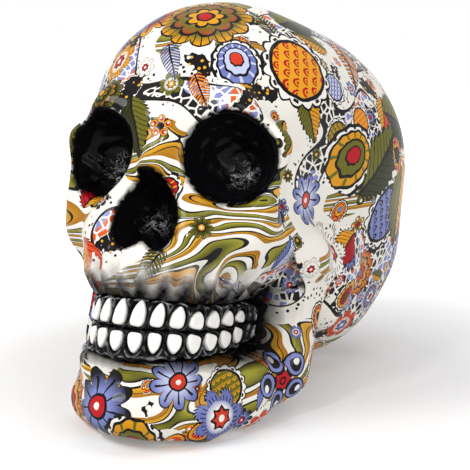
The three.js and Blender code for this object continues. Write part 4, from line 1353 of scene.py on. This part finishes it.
def addLining(name, centre, pit, mirror, node, seed):
    around = np.linspace(0, 2 * math.pi, lining["around"], endpoint=False)

    def reachTo(direction, inset):              # the pit's wall in a direction from its middle
        low, high = np.zeros(len(direction)), np.full(len(direction), lining["furthest"])
        for _ in range(18):
            middle = (low + high) / 2
            at = centre + direction * middle[:, None]
            at[:, 0] = np.abs(at[:, 0]) if mirror is None else at[:, 0]
            inside = pit(at.astype(real), inset) < 0
            low, high = np.where(inside, middle, low), np.where(inside, high, middle)
        return centre + direction * low[:, None]

    def towards(tip, turn):
        return np.stack([np.sin(tip) * np.cos(turn), np.cos(tip), np.sin(tip) * np.sin(turn)], -1)

    low, high = np.zeros(len(around)), np.full(len(around), math.pi)
    for _ in range(16):                         # how far round from the back each line meets the rim
        middle = (low + high) / 2
        wall = reachTo(towards(middle, around), lining["clearance"])
        under = formsAt(craniumForms, onLeft(wall)) < -lining["belowRim"]
        low, high = np.where(under, middle, low), np.where(under, high, middle)
    rim = np.minimum.reduce([low, np.roll(low, 1), np.roll(low, -1)])
    shares = np.linspace(0, 1, lining["deep"] + 1)[1:]
    sheets, poles = [], []
    for thickness in (0, lining["thickness"]):
        rings = []
        for share in shares:
            near = smoothRamp(share, lining["thinFrom"], 1)
            inset = lining["clearance"] - lining["flare"] * near + thickness * (1 - lining["thinBy"] * near)
            rings.append(reachTo(towards(rim * share, around), inset))
        sheets.append(np.array(rings))
        poles.append(reachTo(np.array([[0.0, 1.0, 0.0]]), lining["clearance"] + thickness)[0])
    outer, inner = sheets
    relief = ripples(inner, seed, lining["wrinkleSize"]) * lining["wrinkle"] * (1 - shares[:, None] ** 6)
    inward = centre - inner
    inward /= np.linalg.norm(inward, axis=-1, keepdims=True)
    inner = inner + inward * (relief[..., None] + lining["lift"])
    points = np.vstack([outer.reshape(-1, 3), inner.reshape(-1, 3), poles])
    if mirror:
        points = points * (mirror, 1, 1)
    n, rings = lining["around"], lining["deep"]
    inside, last, faces = rings * n, (rings - 1) * n, []    # first points of the inner sheet and of the rim
    for first, pole, flip in ((0, 2 * inside, False), (inside, 2 * inside + 1, True)):
        faces += ringFaces(rings, n, first, flip)
        faces += [[pole, b, a] if flip else [pole, a, b] for a, b in ringPairs(first, n)]
    faces += [[a, a + inside, b + inside, b] for a, b in ringPairs(last, n)]
    if mirror != -1:
        faces = [face[::-1] for face in faces]
    piece = addPiece(name, standing(points), faces, glintedBlackMaterial, [node])
    # the middle of the patch of painted glints
    crazed = centre + np.array(lining["crazeGlintAt"])
    crazed[0] *= mirror or 1
    away = np.linalg.norm(points - crazed, axis=1)
    paint(piece, "crazeGlintShare", 1 - smoothRamp(away, *lining["crazeGlintReach"]))
    edgeRings = [range(first, first + n) for first in (last, last + inside)]
    sharp = [any(edge.vertices[0] in ring and edge.vertices[1] in ring for ring in edgeRings)
             for edge in piece.data.edges]
    piece.data.attributes.new("sharp_edge", "BOOLEAN", "EDGE").data.foreach_set("value", sharp)
    return piece


print("linings")
orbitMiddle = place(head["orbitAt"]).astype(float)
addLining("left_socket_lining", orbitMiddle, orbitAt, 1, "left_orbit_lining", 3)
addLining("right_socket_lining", orbitMiddle, orbitAt, -1, "right_orbit_lining", 4)
noseMiddle = np.array([0.0, head["noseAt"][1], (head["noseAt"][2] + head["noseTopAt"][2]) / 2 - 1])
addLining("nose_lining", noseMiddle, noseAt, None, "nasal_lining", 5)


# Gums
gum = {
    "step": 0.2,                # mm between its lines of points
    "front": -0.3,              # mm in front of the bite line, on the ridges between the teeth
    "recess": 1.0,              # mm, depth of the hollow round each tooth
    "back": 3.45,               # mm behind the bite line, where it meets the bone
    "scallop": 0.7,             # mm, how far its edge bulges at each tooth
    "rim": 0.35,                # mm, height of the bead along its edge
    "rimAt": 1.0,               # mm from its edge
    "rimWidth": 0.45,
    "biteEdge": 0.12,           # mm from the bite to its near edge
    "short": 0.2,               # mm, how far its far edge stays inside the solid's
    "scallopWidth": 2.0,
    "endDrop": 3.6,             # mm, how much less tall its ends are
    "endRun": (-1.5, 1.0),      # mm past its reach at the teeth and past its end, where it drops
    "recessReach": (0.94, 1.14),        # in tooth outlines, where the hollow begins and ends
    "lineAt": 1.3,              # the same for a fine raised line round each tooth's end
    "lineWidth": 0.075,
    "lineRise": 0.22,           # mm
    "lineShares": (0.45, 0.7),  # of the front tooth's height, where the line comes in
    "curl": 2.0,                # mm, how far its ends come forward
    "curlRun": (0.2, 3.4),      # mm past the last tooth, where they do
    "curlRidge": 0.3,           # mm, height of the ridges on its ends, and the space from one to the next
    "ridgeSpace": 1.5,
    "biteRound": (0.9, 0.9),    # mm, width and depth of the rounding of its edges
    "edgeRound": (1.6, 2.6),
    "endRound": (1.8, 4.6),
    "ripple": 0.12,             # mm, height of the brush marks, and their wide and narrow spacing
    "rippleSizes": (2.6, 1.3),
    "gumGlints": (0.75, 0.6, 0.12, 1.6),   # painted highlight: how bright the glints are on the line, the rim, the hollow's edge and the ends
    "glintRim": (0.8, 0.2),    # mm from its edge and wide
    "hollowLine": 0.05,         # in tooth outlines, width of the painted glint along the edge of the hollow
    "marksFrom": 3.0,           # mm before the end of the row, the middle of the curved painted glints on its ends
    "marksTall": 0.55,          # below 1, they are taller than wide
    "across": 48,               # points from edge to edge
    "margins": (0.2, 0.25),     # mm, how much wider and taller than a tooth its outline is taken to be
    "square": 2.6,              # how square that outline is
    "narrow": 0.4,              # how much it narrows in the gum
}


# How far out from the nearest tooth a point of the gum is: 1 at the tooth's outline.
def toothReach(run, rise, heights):
    reaches, power = [], gum["square"]
    for middle, width, height in zip(toothMiddles, mouth["toothWidths"], heights):
        across = (np.abs(run) - middle) / (width / 2 + gum["margins"][0])
        up = (rise - mouth["biteGap"] - height / 2) / (height / 2 + gum["margins"][1])
        narrowed = across * (1 + gum["narrow"] * np.clip(up, 0, 1))
        reaches.append((np.abs(narrowed) ** power + np.abs(up) ** power) ** (1 / power))
    return np.minimum.reduce(reaches)


def rounding(distance, radius, depth):      # how far a face drops back near its edge
    return depth * (1 - np.sqrt(np.clip(1 - (1 - np.clip(distance / radius, 0, 1)) ** 2, 0, 1)))


def addGum(name, up, heights, node, seed):
    end = gumReach + mouth["endExtra"]
    runs = np.arange(-end, end + gum["step"] / 2, gum["step"])
    tall = gumTall(runs) - gum["short"]
    for middle in toothMiddles:
        tall = tall + gum["scallop"] * hump(np.abs(runs), middle, gum["scallopWidth"])
    dropFrom, dropTo = gumReach + gum["endRun"][0], end + gum["endRun"][1]
    tall = tall - gum["endDrop"] * smoothRamp(np.abs(runs), dropFrom, dropTo)
    shares = np.linspace(0, 1, gum["across"])
    at, _, outward = biteAt(np.clip(runs, biteRun[0], biteRun[-1]))
    rise = gum["biteEdge"] + shares[None, :] * (tall[:, None] - gum["biteEdge"])
    reach, toEdge = toothReach(runs[:, None], rise, heights), tall[:, None] - rise
    line = hump(reach, gum["lineAt"], gum["lineWidth"])
    line = line * smoothRamp(rise, *(heights[0] * share for share in gum["lineShares"]))
    front = gum["front"] - gum["recess"] * (1 - smoothRamp(reach, *gum["recessReach"]))
    front = front + gum["lineRise"] * line + gum["rim"] * hump(toEdge, gum["rimAt"], gum["rimWidth"])
    past = np.abs(runs)[:, None] - rowLength
    curl = smoothRamp(past, *gum["curlRun"])
    ridges = np.cos(2 * math.pi * past / gum["ridgeSpace"])
    front = front + gum["curl"] * curl + gum["curlRidge"] * curl * ridges
    front = front - rounding(rise - gum["biteEdge"], *gum["biteRound"])
    front = front - rounding(toEdge, *gum["edgeRound"])
    front = front - rounding((end - np.abs(runs))[:, None], *gum["endRound"])
    over = np.array([0, 0, up])
    points = at[:, None] + outward[:, None] * front[..., None] + over * rise[..., None]
    wide, narrow = gum["rippleSizes"]
    bumps = ripples(points, seed, wide) + 0.7 * ripples(points, seed + 40, narrow)
    points = points + outward[:, None] * (bumps * gum["ripple"])[..., None]
    back = at[:, None] - outward[:, None] * gum["back"] + over * rise[:, [-1, 0]][..., None]
    sheet = np.concatenate([points, back], 1)
    around = sheet.shape[1]
    faces = ringFaces(len(runs), around)
    faces.append(list(range(around)))
    faces.append([(len(runs) - 1) * around + i for i in range(around)][::-1])
    if up < 0:
        faces = [face[::-1] for face in faces]
    piece = addPiece(name, standing(sheet.reshape(-1, 3)), faces, blackMaterial, [node])
    # Painted highlight: glints along the fine line round each tooth, the bead, the hollow's edge and curved
    # marks on the curled ends
    ofLine, ofRim, ofHollow, ofEnds = gum["gumGlints"]
    fromMiddle = np.sqrt((past + gum["marksFrom"]) ** 2 + (rise * gum["marksTall"]) ** 2)
    marks = (0.5 + 0.5 * np.cos(2 * math.pi * fromMiddle / gum["ridgeSpace"])) ** 5
    hollowEdge = hump(reach, gum["recessReach"][1], gum["hollowLine"])
    crests = ofLine * line ** 3 + ofRim * hump(toEdge, *gum["glintRim"]) + ofHollow * hollowEdge
    gumGlints = np.zeros(sheet.shape[:2])
    gumGlints[:, :len(shares)] = np.clip(crests + ofEnds * curl * marks, 0, 1)
    paint(piece, "gumGlints", gumGlints)
    return piece


print("gums")
addGum("upper_gum_relief", 1, mouth["upperHeights"], "upper_gum", 7)
addGum("lower_gum_relief", -1, mouth["lowerHeights"], "lower_gum", 8)


# Teeth, one Geometry Nodes tree with its own sizes for each
tooth = {
    "thickness": 1.9,           # mm
    "inset": 0.35,              # mm, how much narrower the painted crown is than its solid
    "proud": 0.05,              # mm in front of the bite line
    "biteSquare": 0.5,          # how square the biting end is, lower for squarer, and the end in the gum
    "gumSquare": 1.12,
    "leanRight": [6, 9, 13, 15, 13, 8, 5],      # degrees to the midline in the upper row, from the middle
    "leanLeft": [-6, -6, -6, -5, -4, -3, -3],
    "lowerLean": 0.3,           # share of that lean in the lower row
    "upperTaper": 0.30,         # how much narrower a tooth gets towards its gum
    "lowerTaper": 0.34,
    "wear": 0.3,                # mm, how uneven its face is
    "segments": 44,
    "rings": 22,
}


def toothTree():
    tree = bpy.data.node_groups.new("toothCrown", "GeometryNodeTree")
    sizeNames = ("Width", "Height", "Depth", "Taper", "BiteSquare", "GumSquare")
    for name in (*sizeNames, "Wear"):
        tree.interface.new_socket(name, in_out="INPUT", socket_type="NodeSocketFloat")
    tree.interface.new_socket("Seed", in_out="INPUT", socket_type="NodeSocketInt")
    tree.interface.new_socket("Finish", in_out="INPUT", socket_type="NodeSocketMaterial")
    tree.interface.new_socket("Geometry", in_out="OUTPUT", socket_type="NodeSocketGeometry")
    start = addNode(tree, "NodeGroupInput")
    ball = addNode(tree, "GeometryNodeMeshUVSphere", {
        "Segments": tooth["segments"], "Rings": tooth["rings"], "Radius": 1.0})
    places = addNode(tree, "GeometryNodeInputPosition").outputs[0]
    apart = addNode(tree, "ShaderNodeSeparateXYZ", {0: places})
    known = {"px": apart.outputs[0], "pz": apart.outputs[1], "py": apart.outputs[2]}
    known.update({name.lower(): start.outputs[name] for name in sizeNames})
    workOut(tree, known, """
xx = MULTIPLY px px
rr = MULTIPLY_ADD pz pz xx
r = SQRT rr
safe = MAXIMUM r 0.0001
cx = DIVIDE px safe
cz = DIVIDE pz safe
gumHalf = GREATER_THAN cz 0
square = OVER bitesquare gumsquare gumHalf
ax = ABSOLUTE cx
bx = POWER ax square
sx = SIGN cx
ox = MULTIPLY bx sx
az = ABSOLUTE cz
bz = POWER az square
sz = SIGN cz
oz = MULTIPLY bz sz
grow = POWER r 0.3
fx = MULTIPLY ox grow
fz = MULTIPLY oz grow
high = ADD fz 1
share = DIVIDE high 2
share2 = POWER share 1.5
thin = MULTIPLY share2 taper
wide = SUBTRACT 1 thin
dx = MULTIPLY fx wide
halfWide = DIVIDE width 2
halfTall = DIVIDE height 2
outX = MULTIPLY dx halfWide
outZ = MULTIPLY fz halfTall
ay = ABSOLUTE py
by = POWER ay 0.4
sy = SIGN py
oy = MULTIPLY by sy
outY = MULTIPLY oy depth
""")
    shaped = addNode(tree, "ShaderNodeCombineXYZ", {0: known["outX"], 1: known["outY"], 2: known["outZ"]})
    seedNoise = addNode(tree, "ShaderNodeTexNoise", {
        "Vector": shaped.outputs[0], "W": start.outputs["Seed"], "Scale": every(3)}, noise_dimensions="4D")
    centred = addNode(tree, "ShaderNodeVectorMath", {0: seedNoise.outputs["Color"], 1: (0.5, 0.5, 0.5)},
                      operation="SUBTRACT")
    worn = addNode(tree, "ShaderNodeVectorMath", {0: centred.outputs[0], "Scale": start.outputs["Wear"]},
                   operation="SCALE")
    moved = addNode(tree, "GeometryNodeSetPosition", {
        "Geometry": ball.outputs["Mesh"], "Position": shaped.outputs[0], "Offset": worn.outputs[0]})
    smooth = addNode(tree, "GeometryNodeSetShadeSmooth", {"Geometry": moved.outputs[0]})
    plain = addNode(tree, "GeometryNodeRealizeInstances", {"Geometry": smooth.outputs[0]})
    painted = addNode(tree, "GeometryNodeSetMaterial", {
        "Geometry": plain.outputs[0], "Material": start.outputs["Finish"]})
    addNode(tree, "NodeGroupOutput", {"Geometry": painted.outputs[0]})
    return tree


def addTooth(tree, row, up, sideName, side, number, height):
    name = f"{row}_{sideName}_tooth_{number + 1}"
    holder = bpy.data.objects.new("toothHolder", bpy.data.meshes.new("toothHolder"))
    bpy.context.scene.collection.objects.link(holder)
    modifier = holder.modifiers.new("toothCrown", "NODES")
    modifier.node_group = tree
    chosen = {
        "Width": (mouth["toothWidths"][number] - tooth["inset"]) * mm,
        "Height": height * mm,
        "Depth": tooth["thickness"] * mm,
        "Taper": tooth["upperTaper"] if up > 0 else tooth["lowerTaper"],
        "BiteSquare": tooth["biteSquare"],
        "GumSquare": tooth["gumSquare"],
        "Wear": tooth["wear"] * mm,
        "Seed": 10 + number + (7 if side > 0 else 0) + (14 if up > 0 else 0),
        "Finish": whiteMaterial,
    }
    for socket in tree.interface.items_tree:
        if socket.in_out == "INPUT":
            modifier[socket.identifier] = chosen[socket.name]
    view = bpy.context.evaluated_depsgraph_get()
    mesh = bpy.data.meshes.new_from_object(holder.evaluated_get(view), depsgraph=view)
    holder.modifiers.clear()
    bpy.data.objects.remove(holder)
    mesh.name = name
    at, along, outward = (v[0] for v in biteAt(np.array([side * toothMiddles[number]])))
    over = np.array([0, 0, up])
    middle = at + outward * (tooth["proud"] - tooth["thickness"]) + over * (mouth["biteGap"] + height / 2)
    own = np.zeros(len(mesh.vertices) * 3, real)
    mesh.vertices.foreach_get("co", own)
    own = own.reshape(-1, 3).astype(float) / mm
    degrees = tooth["leanRight" if side < 0 else "leanLeft"][number] * (1 if up > 0 else tooth["lowerLean"])
    own[:, 0] += own[:, 2] * math.tan(math.radians(degrees)) * -side
    points = middle + own[:, :1] * along + own[:, 1:2] * outward + own[:, 2:] * over
    mesh.vertices.foreach_set("co", (standing(points) * mm).astype(real).ravel())
    if up > 0:
        mesh.flip_normals()
    mesh.update()
    piece = bpy.data.objects.new(name + "_enamel", mesh)
    bpy.context.scene.collection.objects.link(piece)
    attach(piece, root)
    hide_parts(name)


print("teeth")
crownTree = toothTree()
for row, up, heights in (("upper", 1, mouth["upperHeights"]), ("lower", -1, mouth["lowerHeights"])):
    for sideName, side in (("left", 1), ("right", -1)):
        for number, height in enumerate(heights):
            addTooth(crownTree, row, up, sideName, side, number, height)

for pad in ("left_jaw_pad", "right_jaw_pad", "heel_pad"):
    frame["nodes"][pad].data.materials.clear()
    frame["nodes"][pad].data.materials.append(foamMaterial)


# Stage, light and camera
stage = {
    "floor": "#E7E7E7",
    "floorGlow": 0.20,          # light of its own where it is seen, so that it stays white
    "worldStrength": 0.40,
    "lampAim": (0, 0, 0.05),
    "lamps": {                  # place and width in metres, and power
        "key": ((-0.4, -0.5, 0.66), 0.34, 3.2),
        "fill": ((0.7, -0.5, 0.35), 0.5, 2.5),
        "top": ((0.15, 0.1, 0.85), 0.6, 1.35),
        "spark": ((-0.12, -0.55, 0.52), 0.07, 0.8),     # small, for the crisp glints on the enamel
    },
}

lens = {
    "distance": 0.350,          # m
    "azimuth": 22.741,          # degrees towards the skull's left
    "elevation": 9.862,
    "aim": (1.505, 2.0, 48.05),         # mm, the middle of the view
    "focalPixels": 1048.0,
    "imagePixels": 470,
    "sensor": 36.0,             # mm
}


# 1 for what is seen straight, in a gloss or through a pane, and 0 for light that falls on the pieces
def raysSeen(tree):
    rays = addNode(tree, "ShaderNodeLightPath")
    return workOut(tree, {"camera": rays.outputs["Is Camera Ray"], "glossy": rays.outputs["Is Glossy Ray"],
                          "through": rays.outputs["Is Transmission Ray"]}, """
seen0 = MAXIMUM camera glossy
seen = MAXIMUM seen0 through
""")


print("stage")
floorMesh = bpy.data.meshes.new("studio_floor")
floorMesh.from_pydata([(-3, -3, 0), (3, -3, 0), (3, 3, 0), (-3, 3, 0)], [], [(0, 1, 2, 3)])
floor = bpy.data.objects.new("studio_floor", floorMesh)
bpy.context.scene.collection.objects.link(floor)
floorMaterial, tree = newMaterial("paleStudioFloor")
diffuse = addNode(tree, "ShaderNodeBsdfDiffuse", {"Color": tone(stage["floor"])})
spot = addNode(tree, "ShaderNodeTexCoord").outputs["Object"]
away = addNode(tree, "ShaderNodeVectorMath", {0: spot}, operation="LENGTH").outputs["Value"]
glow = workOut(tree, {**raysSeen(tree), "away": away}, f"""
far0 = MULTIPLY_ADD away 5 -0.39
far1 = MINIMUM far0 1
far = MAXIMUM far1 0
glow0 = MULTIPLY_ADD far {1 - stage['floorGlow']} {stage['floorGlow']}
glow = MULTIPLY seen glow0
""")["glow"]
glowing = addNode(tree, "ShaderNodeEmission", {"Strength": glow})
both = addNode(tree, "ShaderNodeAddShader", {0: diffuse.outputs[0], 1: glowing.outputs[0]})
addNode(tree, "ShaderNodeOutputMaterial", {"Surface": both.outputs[0]})
floorMesh.materials.append(floorMaterial)

world = bpy.data.worlds.new("studio")
bpy.context.scene.world = world
world.use_nodes = True
tree = world.node_tree
tree.nodes.clear()
strength = workOut(tree, raysSeen(tree), f"""
strength = OVER {stage['worldStrength']} 1.0 seen
""")["strength"]
sky = addNode(tree, "ShaderNodeBackground", {"Color": (1, 1, 1, 1), "Strength": strength})
addNode(tree, "ShaderNodeOutputWorld", {"Surface": sky.outputs[0]})


def hold(name, what, at, towards):      # puts a lamp or the camera in place, looking along a direction
    holder = bpy.data.objects.new(name, what)
    holder.location = at
    holder.rotation_mode = "QUATERNION"
    holder.rotation_quaternion = towards.to_track_quat("-Z", "Y")
    bpy.context.scene.collection.objects.link(holder)
    return holder


for name, (at, size, power) in stage["lamps"].items():
    lamp = bpy.data.lights.new(name, "AREA")
    lamp.shape = "DISK"
    lamp.size = size
    lamp.energy = power
    hold(name, lamp, at, Vector(stage["lampAim"]) - Vector(at))

camera = bpy.data.cameras.new("camera")
camera.sensor_width = lens["sensor"]
camera.lens = lens["focalPixels"] / lens["imagePixels"] * lens["sensor"]
turn, rise = math.radians(lens["azimuth"]), math.radians(lens["elevation"])
back = Vector((math.sin(turn) * math.cos(rise), -math.cos(turn) * math.cos(rise), math.sin(rise)))
at = Vector(lens["aim"]) * mm + back * lens["distance"]
bpy.context.scene.camera = hold("camera", camera, at, -back)
bpy.context.scene.view_settings.view_transform = "Standard"
